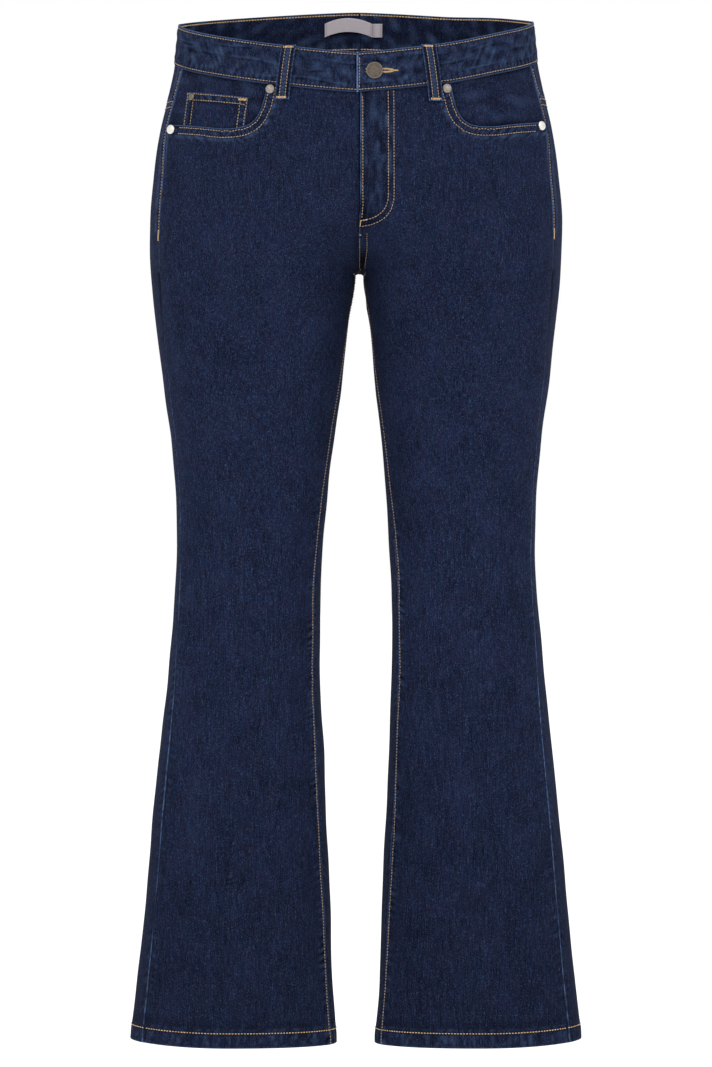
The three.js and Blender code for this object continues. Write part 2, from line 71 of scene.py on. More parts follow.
# ---- Form of the garment ----
SEAM_GAP = 0.08
HALF_GAP = SEAM_GAP / 2
SEAM_TURN = 0.025  # degrees round a leg that make half a seam gap
BAND_HEIGHT = 42.2
BAND_PROUD = 0.9
HEM = {"low": -1049.3, "lift": 4.5, "fold": 17.2}
CROTCH = -234
RISE_HEIGHT = 85
RISE_POWER = 4
SADDLE = {"half": 5.3, "opens": 1.5, "closes": 130}
LEG_ROUND = 2 / 2.15
TRUNK_SQUARE = 2.4
SECTION_COLUMNS = ("height", "outer", "inner", "front", "back", "outseam", "inseam")
SECTION_ROWS = (
    (60, 184, 0, -98, 98, 28.5, 0),
    (25, 187.7, 0, -100, 101, 28.5, 0),
    (-12, 191.7, 0, -103, 106, 28.5, 0),
    (-46, 198.5, 0, -106, 112, 26.5, 0),
    (-84, 207.6, 0, -109, 119, 24.6, 0),
    (-135, 215, 0, -111, 126, 28.6, 0),
    (-186, 218.7, 0, -110, 126, 28.8, 0),
    (-234, 217.5, 0, -102, 116, 28.2, 0),
    (-284, 212.7, 8, -93, 101, 26.5, 7),
    (-347, 204.4, 17, -84, 87, 25, 12),
    (-411, 195.8, 24.9, -76, 75, 23, 17),
    (-475, 191, 31.2, -69, 65, 22, 22),
    (-522, 190, 34.7, -66, 60, 23, 25),
    (-570, 192.1, 37.5, -65, 61, 25, 26),
    (-634, 197.3, 38, -63, 65, 28, 26),
    (-729, 206.8, 34.7, -61, 68, 31, 26),
    (-856, 219.6, 29.8, -59, 65, 31, 24),
    (-983, 232.2, 24.3, -58, 62, 31, 21),
    (-1060, 239, 20, -58, 62, 31, 20),
)
SECTIONS = np.array(SECTION_ROWS, float)
LOW_DRIFT = 3.2  # the middle of the front lies this far to the wearer's left at the crotch
CENTRE_DRIFT = 4.5  # and this far from the waist down to where the fly curves
DRIFT_STEP = {"low": -190, "reach": 26}  # where it goes from the one to the other
DRIFT_END = -600
LEAN = {"rise": 2.8, "start": 90, "reach": 70, "low": -300, "fades": 160}  # the left hip stands higher
RIM = {"front": -10.9, "side": 30.2, "back": 54.2, "front_power": 1.08, "back_power": 1.2}
YOKE = {"side": -53, "centre": -62, "middle": -30.0}

# ---- Pieces on the panels ----
MOUTH = {
    "start": (95, -44), "bend": ((102, -84), (110.5, -90.5)), "turned": (144, -89), "end": (190, -82),
}
MOUTH_SHIFT = 3  # both mouths lie this far to the wearer's left
MOUTH_PAST = 0.8  # its straight part runs on past the end by this share of its length
NO_MOUTH = 999  # a height over the whole garment, where no mouth cuts the panel
FACING = {"inside": 78, "bottom": -110, "depth": 2.7, "thick": 1.0, "guess": -35.0, "rounds": 8}
COIN = {
    "depth": 1.5, "thick": 0.9,
    "corners": ((-178, -47.5), (-112.5, -57), (-118, -102), (-184.5, -102)),
}
BACK_POCKET = {
    "middle": 100, "top": -76, "wide": 142, "narrow": 122, "side": 128, "point": 22, "tilt": 4,
    "length": 140,
}
OVERLAP_END = 0.6
UNDERLAP_END = 39.6
UNDERLAP_DROP = 3.0
FLY = {
    "width": 29, "outer": 35, "straight": -157, "low": -185.5, "outer_low": -191.5,
    "square": 2.6, "back": 10,
}
FLY_TOP = -57  # the pieces behind the fly end just under the waistband
SHIELD = {"from": -22, "to": 34, "bottom": -182, "depth": 3.3, "step": 2.5}
ZIP = {"from": -13, "to": 13, "bottom": -170, "depth": 1.9, "step": 0.7, "thick": 1.0, "tooth": 2.0}
BUTTON = {"x": 19.2, "z": -30.6, "lean": 72}  # its lean is so great that it faces straight forward
LOOP_WIDTH = 15
LOOP_THICK = 1.8
# Each loop's middle at the top and at the foot, how far it goes down past the band, and whether it
# is on the front.
LOOP_ROWS = (
    ("loop_front_right", -69.4, -76.5, 14.5, True),
    ("loop_front_left", 75, 82.8, 17, True),
    ("loop_side_right", -134, -138, 13, False),
    ("loop_side_left", 134, 138, 13, False),
    ("loop_centre_back", 0, 0, 13, False),
)
# Shares of a loop's length, and how far it stands off what is behind it at each.
LOOP_STAND = ((0, 0.35), (0.09, 0.35), (0.2, 1.9), (0.5, 2.7), (0.76, 1.9), (0.88, 0.35), (1, 0.35))
LABEL = {
    "left": -38.5, "right": 13, "height": 14.6, "top": 42, "arch": 6, "thick": 0.8,
    "inward": 3.1, "bulge": 1.6, "sewn": 1.4,
}
SIZE_TAB = {"left": 13.3, "right": 24}
SIDES = (("right", -1), ("left", 1))


def lerp(a, b, t):
    return a + (b - a) * t


def smooth(t):
    t = np.clip(t, 0, 1)
    return t * t * (3 - 2 * t)


def hump(distance, width):
    """1 on a line and 0 well away from it."""
    return np.exp(-((distance / width) ** 2))


def within(distance, reach, soft):
    """1 inside a reach, and 0 once past a soft edge."""
    return 1 - smooth((distance - reach) / soft)


def ridge(value):
    return np.maximum(value, 0)


def hollow(value):
    return np.maximum(-value, 0)


# ---- Body surface ----
HALVINGS = 26  # of the range of turns, when a turn is looked for
ROUNDS = 6  # of settling on a height that depends on the turn there
NEAR_WAIST = -50.0


def section_slopes():
    """Slopes for a curve through the section table that never overshoots."""
    step = -np.diff(SECTIONS[:, 0])[:, None]
    steep = np.diff(SECTIONS, axis=0) / step
    first, second = steep[:-1], steep[1:]
    level = first * second <= 0
    slopes = np.zeros_like(SECTIONS)
    total = np.where(level, 1, first + second)
    slopes[1:-1] = np.where(level, 0, 2 * first * second / total)
    return slopes


SLOPES = section_slopes()


def section_at(height):
    height = np.asarray(height, float)
    row = np.clip(np.searchsorted(-SECTIONS[:, 0], -height) - 1, 0, len(SECTIONS) - 2)
    upper, lower = SECTIONS[row], SECTIONS[row + 1]
    step = (upper[..., 0] - lower[..., 0])[..., None]
    t = np.clip((upper[..., 0] - height)[..., None] / step, 0, 1)
    start, end = SLOPES[row] * step, SLOPES[row + 1] * step
    rise = lower - upper
    values = upper + start * t + (3 * rise - 2 * start - end) * t**2 + (start + end - 2 * rise) * t**3
    return {name: values[..., index] for index, name in enumerate(SECTION_COLUMNS)}


def signed_power(value, power):
    return np.sign(value) * np.abs(value) ** power


def join_at(height):
    """How far the two legs have grown together: 0 at the crotch, 1 over the hips."""
    share = np.clip((height - CROTCH) / RISE_HEIGHT, 0, 1)
    return np.sqrt(1 - (1 - share) ** 2)


def saddle_at(height):
    below = CROTCH - height
    part = SADDLE["half"] * np.sqrt(np.clip(below / SADDLE["opens"], 0, 1)) * (1 - below / SADDLE["closes"])
    return np.where((below > 0) & (below < SADDLE["closes"]), part, 0)


def drift_at(height):
    height = np.asarray(height, float)
    low = LOW_DRIFT * smooth((height - DRIFT_END) / (CROTCH - DRIFT_END))
    return low + (CENTRE_DRIFT - LOW_DRIFT) * smooth((height - DRIFT_STEP["low"]) / DRIFT_STEP["reach"])


def lean_at(x, height):
    across = smooth((x - LEAN["start"]) / LEAN["reach"])
    return LEAN["rise"] * across * smooth((height - LEAN["low"]) / LEAN["fades"])


def body_point(side, turn, height):
    """The outer face of the garment."""
    side, turn, height = np.broadcast_arrays(side, turn, np.asarray(height, float))
    section = section_at(height)
    middle = (section["outer"] + section["inner"]) / 2
    half = (section["outer"] - section["inner"]) / 2
    across = signed_power(np.sin(np.radians(turn)), LEG_ROUND)
    leg = np.abs(np.cos(np.radians(turn))) ** LEG_ROUND
    parting = np.where(across < 0, saddle_at(height) * (1 - leg) ** 2, 0)
    x = np.maximum(middle + half * across + parting, HALF_GAP)
    share = np.minimum(1, x / section["outer"])
    trunk = (1 - share**TRUNK_SQUARE) ** (1 / TRUNK_SQUARE)
    join = join_at(height) ** RISE_POWER
    reach = ((1 - join) * leg**RISE_POWER + join * trunk**RISE_POWER) ** (1 / RISE_POWER)
    depth = (section["front"] + section["back"]) / 2
    on_front = (turn < 90) | (turn > 270)
    y = depth + reach * (np.where(on_front, section["front"], section["back"]) - depth)
    y = y + np.where(np.abs(y - depth) < HALF_GAP, np.where(on_front, -HALF_GAP, HALF_GAP), 0)
    x = side * x + drift_at(height) * (1 - (x / section["outer"]) ** 2)
    return np.stack([x, y, height + lean_at(x, height)], axis=-1)


NORMAL_TURN = 4
NORMAL_RISE = 0.75


def skin(side, turn, height):
    """Points of the outer face, with the way out of the cloth at each."""
    side, turn, height = np.broadcast_arrays(side, turn, np.asarray(height, float))
    above = height > CROTCH - 1
    low = np.where(above, -90 + SEAM_TURN, -180)
    high = np.where(above, 270 - SEAM_TURN, 360)
    ahead = body_point(side, np.clip(turn + NORMAL_TURN, low, high), height)
    behind = body_point(side, np.clip(turn - NORMAL_TURN, low, high), height)
    up = body_point(side, turn, height + NORMAL_RISE) - body_point(side, turn, height - NORMAL_RISE)
    point = body_point(side, turn, height)
    normal = np.cross(ahead - behind, up) * side[..., None]
    on_centre = (np.abs(point[..., 0] - drift_at(height)) < 1.1 * HALF_GAP) & above
    normal[..., 0] = np.where(on_centre, 0, normal[..., 0])
    return point, normal / np.linalg.norm(normal, axis=-1, keepdims=True)


def turn_at(side, x, height, on_front):
    """The turn at which the outer face has the given x, on the front or on the back."""
    side, x, height = np.broadcast_arrays(side, np.asarray(x, float), np.asarray(height, float))
    low = np.full(x.shape, -90.0 if on_front else 270.0)
    high = np.full(x.shape, 90.0)
    for _ in range(HALVINGS):
        middle = (low + high) / 2
        nearer = side * body_point(side, middle, height)[..., 0] < side * x
        low = np.where(nearer, middle, low)
        high = np.where(nearer, high, middle)
    return (low + high) / 2


def face_skin(x, height, on_front):
    """Points and ways out at places seen from the front or from the back."""
    side = np.where(np.asarray(x, float) < drift_at(height), -1, 1)
    return skin(side, turn_at(side, x, height, on_front), height)


def rim_height(side, turn):
    guess = 20.0
    share = np.clip(side * body_point(side, turn, guess)[..., 0] / section_at(guess)["outer"], 0, 1)
    turned = np.arcsin(share ** (TRUNK_SQUARE / 2)) / (math.pi / 2)
    front = RIM["front"] + (RIM["side"] - RIM["front"]) * turned ** RIM["front_power"]
    back = RIM["back"] + (RIM["side"] - RIM["back"]) * turned ** RIM["back_power"]
    return np.where(np.asarray(turn) < 90, front, back)


def waist_seam(side, turn):
    return rim_height(side, turn) - BAND_HEIGHT


def yoke_seam(side, turn):
    reach = side * body_point(side, turn, YOKE["side"])[..., 0] / section_at(YOKE["side"])["outer"]
    return lerp(YOKE["centre"], YOKE["side"], np.clip(reach, 0, 1))


def hem_height(turn):
    return HEM["low"] + HEM["lift"] * np.maximum(0, np.sin(np.radians(turn))) ** 2


def mouth_line():
    """The pocket mouth as x and z, from the waist seam to past the side seam."""
    curve_count, straight_count = 60, 50
    t = np.linspace(0, 1, curve_count)[:, None]
    a, b, c, d = (np.array(p, float) for p in (MOUTH["start"], *MOUTH["bend"], MOUTH["turned"]))
    curve = a * (1 - t) ** 3 + 3 * b * t * (1 - t) ** 2 + 3 * c * t**2 * (1 - t) + d * t**3
    end = np.array(MOUTH["end"], float)
    further = end + MOUTH_PAST * (end - d)
    return np.vstack([curve, lerp(d, further, np.linspace(0, 1, straight_count)[1:, None])])


MOUTH_LINE = mouth_line()


def mouth_height(side, x):
    x = side * (x - MOUTH_SHIFT)
    return np.where(x <= MOUTH["start"][0], NO_MOUTH, np.interp(x, MOUTH_LINE[:, 0], MOUTH_LINE[:, 1]))


def front_turn(share, height):
    section = section_at(height)
    return lerp(-90 + section["inseam"] + SEAM_TURN, 90 - section["outseam"] - SEAM_TURN, share)


def back_turn(share, height):
    section = section_at(height)
    return lerp(90 - section["outseam"] + SEAM_TURN, 270 + section["inseam"] - SEAM_TURN, share)


# ---- Unevenness ----
KNOTS = 4096
FIRST_KNOT = 1000  # the knot at place 0


def uneven(seed, place, step):
    """A smooth random line from -1 to 1, with a knot every step."""
    knots = np.random.default_rng(seed).uniform(-1, 1, KNOTS)
    at = np.asarray(place, float) / step + FIRST_KNOT
    index = np.floor(at).astype(int)
    return lerp(knots[index % KNOTS], knots[(index + 1) % KNOTS], smooth(at - index))


def cloudy(seed, u, v, size, waves=14):
    """A smooth random field, mostly from -1 to 1, with patches about a size across."""
    rng = np.random.default_rng(seed)
    field = 0
    for _ in range(waves):
        angle, shift = rng.uniform(0, 2 * math.pi, 2)
        length = 2 * size * rng.uniform(0.7, 1.6)
        field = field + np.sin(2 * math.pi * (u * math.cos(angle) + v * math.sin(angle)) / length + shift)
    return field / math.sqrt(waves / 2) / 1.6


def puckers(seed, along, away, pitch, slant=0.0):
    """Uneven little waves along a seam, from -1 to 1."""
    shift = 1.1 * uneven(seed, along, 4 * pitch)
    height = 0.62 + 0.38 * uneven(seed + 1, along, 2.3 * pitch)
    return height * np.sin(2 * math.pi * ((along + slant * away) / pitch + shift))


# ---- Meshes ----
EDGE_STEPS = np.array([0, 0.12, 0.35, 0.7, 1.1, 1.6, 2.2, 3.0, 4.0, 5.2, 6.6, 8.2])
EDGE_SHARE = 0.4  # the close steps take up less than this share of a length at either end
ROLL_SHARE = 0.45  # of a wall's thickness, rounded off at its edges
ECHO = 0.7  # share of the outer relief that the inner side follows


def graded(length, step, start=True, end=True):
    """Distances from 0 to a length, an odd number of them, close together at its ends."""
    steps = EDGE_STEPS[EDGE_STEPS < EDGE_SHARE * length]
    low = steps if start else steps[:1]
    high = length - (steps[::-1] if end else steps[:1])
    count = max(2, int(round((high[0] - low[-1]) / step)))
    count += (len(low) + len(high) + count) % 2
    middle = np.linspace(low[-1], high[0], count + 1)[1:-1]
    return np.concatenate([low, middle, high])


def graded_shares(length, step, start=True):
    """The same as shares of the length."""
    return graded(length, step, start) / length


def distances(points, axis):
    """Running length of a grid of points along its rows or its columns."""
    steps = np.linalg.norm(np.diff(points, axis=axis), axis=-1)
    start = np.zeros_like(np.take(steps, [0], axis=axis))
    return np.concatenate([start, np.cumsum(steps, axis=axis)], axis=axis)


def mesh_object(name, points, polygons, finishes, finish_of=None, uv=None, values=None):
    """A smooth mesh from points in mm and arrays of polygons, each array with one number of corners."""
    mesh = bpy.data.meshes.new(name)
    corners = np.concatenate([group.ravel() for group in polygons]).astype(np.int32)
    sizes = np.concatenate([np.full(len(group), group.shape[1]) for group in polygons])
    mesh.vertices.add(len(points))
    mesh.vertices.foreach_set("co", (np.asarray(points) * MM).astype(np.float32).ravel())
    mesh.loops.add(len(corners))
    mesh.loops.foreach_set("vertex_index", corners)
    mesh.polygons.add(len(sizes))
    mesh.polygons.foreach_set("loop_start", np.concatenate([[0], np.cumsum(sizes)[:-1]]).astype(np.int32))
    mesh.polygons.foreach_set("use_smooth", np.ones(len(sizes), bool))
    if finish_of is not None:
        mesh.polygons.foreach_set("material_index", finish_of.astype(np.int32))
    if uv is not None:
        layer = mesh.uv_layers.new(name="cloth")
        layer.data.foreach_set("uv", (uv[corners] * MM).astype(np.float32).ravel())
    for key, value in (values or {}).items():
        attribute = mesh.attributes.new(key, "FLOAT", "POINT")
        attribute.data.foreach_set("value", np.asarray(value, np.float32).ravel())
    for finish in finishes:
        mesh.materials.append(finish)
    mesh.update(calc_edges=True)
    mesh.validate()
    piece = bpy.data.objects.new(name, mesh)
    bpy.context.scene.collection.objects.link(piece)
    return piece


def signed_volume(points, quads):
    a, b, c, d = (points[quads[:, k]] for k in range(4))
    return np.einsum("ij,ij->", a, np.cross(b, c)) + np.einsum("ij,ij->", a, np.cross(c, d))


def wall_polygons(rows, columns):
    """Polygons of a closed wall whose inner side has every second point of its outer side."""
    outer = np.arange(rows * columns).reshape(rows, columns)
    inner = rows * columns + np.arange((rows // 2 + 1) * (columns // 2 + 1)).reshape(rows // 2 + 1, -1)
    corners = (outer[:-1, :-1], outer[:-1, 1:], outer[1:, 1:], outer[1:, :-1])
    outside = np.stack(corners, axis=-1).reshape(-1, 4)
    corners = (inner[:-1, :-1], inner[1:, :-1], inner[1:, 1:], inner[:-1, 1:])
    inside = np.stack(corners, axis=-1).reshape(-1, 4)
    rims = []
    for near, far, turned in (
        (outer[0], inner[0], False), (outer[-1], inner[-1], True),
        (outer[:, 0], inner[:, 0], True), (outer[:, -1], inner[:, -1], False),
    ):
        a, b, c, first, second = near[:-2:2], near[1:-1:2], near[2::2], far[:-1], far[1:]
        ring = (a, b, c, second, first) if turned else (c, b, a, first, second)
        rims.append(np.stack(ring, axis=-1))
    return outside, inside, np.concatenate(rims)


class Cloth:
    """A grid of skin points that one piece of cloth follows: rows run up it, columns across it."""

    finished = {}  # outer and inner faces of the walls made so far, for what is sewn on them

    def __init__(self, side, turn, height):
        self.side, self.turn, self.height = np.broadcast_arrays(side, turn, height)
        self.points, self.normals = skin(self.side, self.turn, self.height)
        self.measure()

    @classmethod
    def on_face(cls, x, height, on_front):
        side = np.where(x < drift_at(height), -1, 1)
        return cls(side, turn_at(side, x, height, on_front), height)

    def measure(self):
        self.x = self.points[..., 0]
        self.across = distances(self.points, 1)
        self.up = distances(self.points, 0)
        from_start, from_end = self.across, self.across[:, -1:] - self.across
        from_foot, from_top = self.up, self.up[-1:] - self.up
        self.start, self.end, self.foot, self.top = from_start, from_end, from_foot, from_top
        self.edge = np.minimum.reduce([from_start, from_end, from_foot, from_top])

    def wall(self, name, look, out=0.0, thick=1.2, roll=None, lining=None, finishes=None):
        """A closed wall. look holds its outer side's relief, wear and shade, and lining its inner side's."""
        relief, wear, shade = look
        inner_relief, inner_wear, inner_shade = (-ECHO * relief, wear, shade) if lining is None else lining
        roll = ROLL_SHARE * thick if roll is None else roll
        turned = 1 - np.sqrt(np.clip(1 - (1 - np.clip(self.edge / roll, 0, 1)) ** 2, 0, 1))
        outer = self.points + self.normals * (out + relief - roll * turned)[..., None]
        inward = out - thick + roll * turned - inner_relief
        inner = (self.points + self.normals * inward[..., None])[::2, ::2]
        outside, inside, rims = wall_polygons(*self.x.shape)
        points = np.vstack([outer.reshape(-1, 3), inner.reshape(-1, 3)])
        if signed_volume(points, outside) + signed_volume(points, inside) < 0:
            outside, inside, rims = outside[:, ::-1], inside[:, ::-1], rims[:, ::-1]
        finish_of = np.concatenate([np.zeros(len(outside)), np.ones(len(inside)), np.zeros(len(rims))])
        place = np.stack([self.across - self.across[:, -1:] / 2, self.height], axis=-1)
        uv = np.vstack([place.reshape(-1, 2), place[::2, ::2].reshape(-1, 2)])
        values = {
            "wear": np.concatenate([wear.ravel(), inner_wear[::2, ::2].ravel()]),
            "shade": np.concatenate([shade.ravel(), inner_shade[::2, ::2].ravel()]),
        }
        finishes = [FINISHES[one] for one in finishes or ("denim", "denim_inside")]
        piece = mesh_object(name, points, [outside, inside, rims], finishes, finish_of, uv, values)
        Cloth.finished[name] = {
            "outer": BVHTree.FromPolygons(outer.reshape(-1, 3).tolist(), outside.tolist()),
            "inner": BVHTree.FromPolygons(inner.reshape(-1, 3).tolist(), (inside - outer.size // 3).tolist()),
        }
        return piece


FINISHES = {}


def sheet_of(piece, cloth, node):
    """Attaches a piece to the root and hides the frame's part that it stands in for. The cloth is not used.
    """
    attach(piece, "root")
    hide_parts(node)


# ---- Leg panels ----
CLOTH_THICK = 1.2
HEM_THICK = 2.8
TUCK = 1.4  # the panels' top edges run this far up into the folded waistband
LEG_STEP = 2.2
EVEN_TOP = -160.0  # the row here is level, and those over it spread up to the panel's top edge
UPPER_LENGTH = 100  # about what is left over it. The yokes and the facings are spaced for it too
UPPER_SPAN = 96  # and how much of it the columns are spaced for
HIGHEST = 40.0  # over the top edge of every panel
TOP_HALVINGS = 34
CROTCH_ROWS = np.array([-3.2, -2.0, -1.0, -0.4, 0.4, 1.0, 2.0, 3.2])
INSEAM_ROW = 2.0  # rows of stitches lie this far from the edge that they hold
HIP_ROW = 2.6
MOUTH_ROWS = (2.8, 9.2)
COIN_ROWS = (1.3, 8.0)
HEM_ROW = 15.8
FLY_EDGE_ROW = 2.6
EDGE_ROW = 1.9
SECOND_ROW = 8.2
POCKET_HEM_ROW = 14
END_ROW = 3.0  # down the waistband's upper end
CREASE_COLUMNS = ("on_front", "from_x", "from_z", "to_x", "to_z", "depth", "width")
CREASES = (
    (True, 12, -205, 74, -176, 1.3, 7),
    (True, 14, -222, 92, -214, 1.0, 8),
    (True, -8, -208, -66, -186, 1.2, 7),
    (True, -12, -226, -84, -220, 1.0, 8),
    (True, 60, -128, 120, -116, 0.7, 9),
    (True, -70, -132, -128, -118, 0.7, 9),
    (True, 92, -498, 160, -520, 0.7, 10),
    (True, -88, -512, -158, -500, 0.7, 10),
    (True, 70, -560, 128, -548, 0.6, 9),
    (True, -74, -572, -120, -556, 0.6, 9),
    (False, 10, -262, 96, -236, 1.6, 8),
    (False, -12, -256, -104, -240, 1.5, 8),
    (False, 24, -292, 132, -268, 1.3, 9),
    (False, -28, -286, -126, -262, 1.4, 9),
    (False, 70, -500, 168, -486, 1.5, 8),
    (False, -64, -492, -160, -506, 1.4, 8),
    (False, 56, -528, 150, -540, 1.3, 9),
    (False, -60, -536, -156, -522, 1.4, 9),
    (False, 66, -575, 140, -566, 0.9, 9),
    (False, -70, -580, -150, -570, 0.9, 9),
)


def crowded(count, low, high, extra):
    """Shares between 0 and 1, evenly spread but closer together from low to high."""
    outside = count - extra
    before = int(round(outside * low / (low + 1 - high)))
    parts = (
        np.linspace(0, low, before, endpoint=False)[1:],
        np.linspace(low, high, extra, endpoint=False),
        np.linspace(high, 1, outside - before, endpoint=False),
    )
    return np.concatenate(parts)


FRONT_COLUMNS = crowded(80, 0.40, 0.60, 30)
BACK_COLUMNS = np.linspace(0, 1, 85)[1:-1]


def column_shares(side, turn_of, heights, middle):
    """Shares across a panel, a row for each height: fixed distances near both edges."""
    fine = np.linspace(0, 1, 301)
    level = heights[:, None]
    run = distances(body_point(side, turn_of(fine[None], level), level), 1)
    rows = []
    for length in run:
        low, high = EDGE_STEPS, length[-1] - EDGE_STEPS[::-1]
        stops = np.concatenate([low, lerp(low[-1], high[0], middle), high])
        rows.append(np.interp(stops, length, fine))
    return np.array(rows)


def front_top(side, shares):
    """Height where each column of a front panel ends, at the waist seam or the pocket mouth."""
    low, high = np.full(shares.shape, EVEN_TOP), np.full(shares.shape, HIGHEST)
    for _ in range(TOP_HALVINGS):
        middle = (low + high) / 2
        turn = front_turn(shares, middle)
        band, mouth = waist_seam(side, turn), mouth_height(side, body_point(side, turn, middle)[..., 0])
        under = middle < np.minimum(band, mouth)
        low, high = np.where(under, middle, low), np.where(under, high, middle)
    return low + np.where(band < mouth, TUCK, -HALF_GAP)


def back_top(side, shares):
    return yoke_seam(side, back_turn(shares, YOKE["side"])) - HALF_GAP


def leg_cloth(side, turn_of, top_of, middle):
    lower = graded(EVEN_TOP - HEM["low"], LEG_STEP, end=False)
    lower = np.sort(np.concatenate([lower, CROTCH - HEM["low"] + CROTCH_ROWS]))
    upper = graded_shares(UPPER_LENGTH, LEG_STEP, start=False)
    levels = np.concatenate([HEM["low"] + lower, EVEN_TOP + UPPER_SPAN * upper[1:]])
    shares = column_shares(side, turn_of, levels, middle)
    foot = hem_height(turn_of(shares[0], HEM["low"]))
    top = top_of(side, shares[-1])
    low_part = foot + lower[:, None] * (EVEN_TOP - foot) / (EVEN_TOP - HEM["low"])
    high_part = lerp(EVEN_TOP, top, upper[1:, None])
    height = np.vstack([low_part, high_part])
    return Cloth(side, turn_of(shares, height), height)


def crease_relief(cloth, on_front):
    relief = np.zeros(cloth.x.shape)
    for row in CREASES:
        one = dict(zip(CREASE_COLUMNS, row))
        if one["on_front"] != on_front:
            continue
        run = np.array([one["to_x"] - one["from_x"], one["to_z"] - one["from_z"]], float)
        x, z = cloth.x - one["from_x"], cloth.height - one["from_z"]
        along = (x * run[0] + z * run[1]) / (run @ run)
        off = (x * run[1] - z * run[0]) / np.linalg.norm(run)
        bent = off + 3.0 * np.sin(2.2 * along + one["from_z"])
        fade = smooth((along + 0.15) / 0.35) * smooth((1.15 - along) / 0.45)
        trough = hump(bent, one["width"]) - 0.45 * hump(bent - 1.9 * one["width"], one["width"])
        relief -= one["depth"] * fade * trough
    return relief


def line_distance(points, line):
    """Distance of each point of a grid from a line of points."""
    flat = points.reshape(-1, 1, 3)
    a, run = line[:-1], np.diff(line, axis=0)
    share = np.clip(((flat - a) * run).sum(-1) / (run * run).sum(-1), 0, 1)
    gap = np.linalg.norm(flat - a - share[..., None] * run, axis=-1)
    return gap.min(axis=1).reshape(points.shape[:-1])


def mouth_path(side):
    """The pocket mouth on the body, up to the side seam."""
    x, z = side * MOUTH_LINE[:, 0] + MOUTH_SHIFT, MOUTH_LINE[:, 1]
    turn = turn_at(side, x, z, True)
    kept = turn < front_turn(1, z)
    return skin(side, turn[kept], z[kept])


def seam_look(away, along, seed, row=None, raised=0.4, worn=0.7, pucker=0.35, reach=9):
    """Relief, wear and shade beside a seam: a raised, worn, puckered strip."""
    wave = puckers(seed, along, away, 7.8, 0.3) * (0.45 + 0.55 * uneven(seed + 6, along, 19))
    wave = wave + 0.35 * uneven(seed + 7, along + 0.4 * away, 3.6)
    strip = smooth((away - 1.2) / 1.6) * within(away, 0.35 * reach, 0.7 * reach)
    relief = raised * within(away, 0.6 * reach, 4) + pucker * wave * strip
    patchy = 0.55 + 0.45 * uneven(seed + 5, along, 2.6)
    wear = worn * patchy * hump(away - 0.6, 0.7) + 0.6 * pucker * ridge(wave) * strip
    # painted shade, with some dye kept, in the puckers' hollows, and painted shade along the row
    shade = 2.3 * pucker * hollow(wave) * strip
    if row is not None:
        relief = relief - 0.28 * hump(away - row, 0.8)
        shade = shade + 0.25 * hump(away - row, 1.0)
    return np.array([relief, wear, shade])


def row_look(away, deep=0.26):
    """The little valley that a row of stitches pulls, with painted shade in it."""
    return np.array([-deep * hump(away, 0.85), 0 * away, 0.55 * hump(away, 1.1)])


def hem_look(cloth, seed):
    up, girth = cloth.foot, cloth.across
    twist = 0.6 * puckers(seed, girth, up, 8.2, 0.3) + 0.55 * uneven(seed + 9, girth + 0.25 * up, 3.4)
    fine = uneven(seed + 3, girth + 0.2 * up, 1.1)
    inside = smooth((up - 1.5) / 3) * within(up, HEM_ROW - 3.5, 3)
    relief = 0.35 * within(up, HEM["fold"] - 1.0, 1.5) + 0.42 * twist * inside
    relief = relief + 0.25 * hump(up - HEM_ROW - 3.2, 2.2) * (0.6 + 0.4 * twist)
    wear = 0.4 * hump(up - 0.5, 1.1) * (0.6 + 0.6 * fine)
    wear = wear + (0.1 * ridge(twist) + 0.5 * np.maximum(fine - 0.3, 0)) * inside
    wear = wear + 0.3 * hump(up - HEM["fold"] - 1.2, 1.2) * np.maximum(0.4 + twist, 0)
    # painted shade, with some dye kept, in the roping's hollows, and a darker band over the hem fold
    shade = 0.4 * hollow(twist) * inside + 0.3 * hump(up - HEM["fold"] - 6, 5)
    return np.array([relief, wear, shade]) + row_look(up - HEM_ROW, 0.32)


def groin_shade(cloth):
    """Painted shade: the cloth is darker close to where the legs part."""
    z = cloth.height
    under = smooth((z + 345) / 100) * smooth((CROTCH + 2 - z) / 6)
    return 1.1 * under * hump(cloth.start, 5) + 0.35 * under * within(cloth.start, 4, 22)


def foot_shade(height):
    """Painted shade: the legs are a little darker toward the hems."""
    return 0.33 * smooth((-560 - height) / 460)


def leg_strength(height):
    """Seam puckers grow below the knee."""
    return 0.45 + 0.55 * smooth((-430 - height) / 160)


def front_look(cloth, side):
    """Relief, wear and shade of a front panel."""
    z = cloth.height
    below = smooth((CROTCH - z) / 6)
    strong = leg_strength(z)
    look = hem_look(cloth, 31 + side)
    look += below * strong * seam_look(cloth.start, z, 41 + side, INSEAM_ROW, 0.5, 0.6, 0.65, 13)
    look += seam_look(cloth.end, z, 51 + side, None, 0.4, 0.1, 0.3, 12) * strong
    look[1] += 0.45 * hump(cloth.end - 3.2, 1.3) * smooth((z + 145) / 50) * smooth((-86 - z) / 6)
    # painted shade: a dark line along the outseam edge, and the groin and foot shade
    look[2] += 0.6 * hump(cloth.end - 0.5, 0.9) + groin_shade(cloth) + foot_shade(z)
    look[0] += 0.55 * cloudy(61 + side, cloth.x, z, 90) + 0.25 * cloudy(67 + side, cloth.x, z, 34)
    look[0] += crease_relief(cloth, True)
    # painted shadow on the panel just under the waistband
    look[2] += 0.8 * within(cloth.top, 1.5, 3.5) * smooth((z + 62) / 4)
    return look + mouth_look(cloth, side) + centre_look(cloth, side)


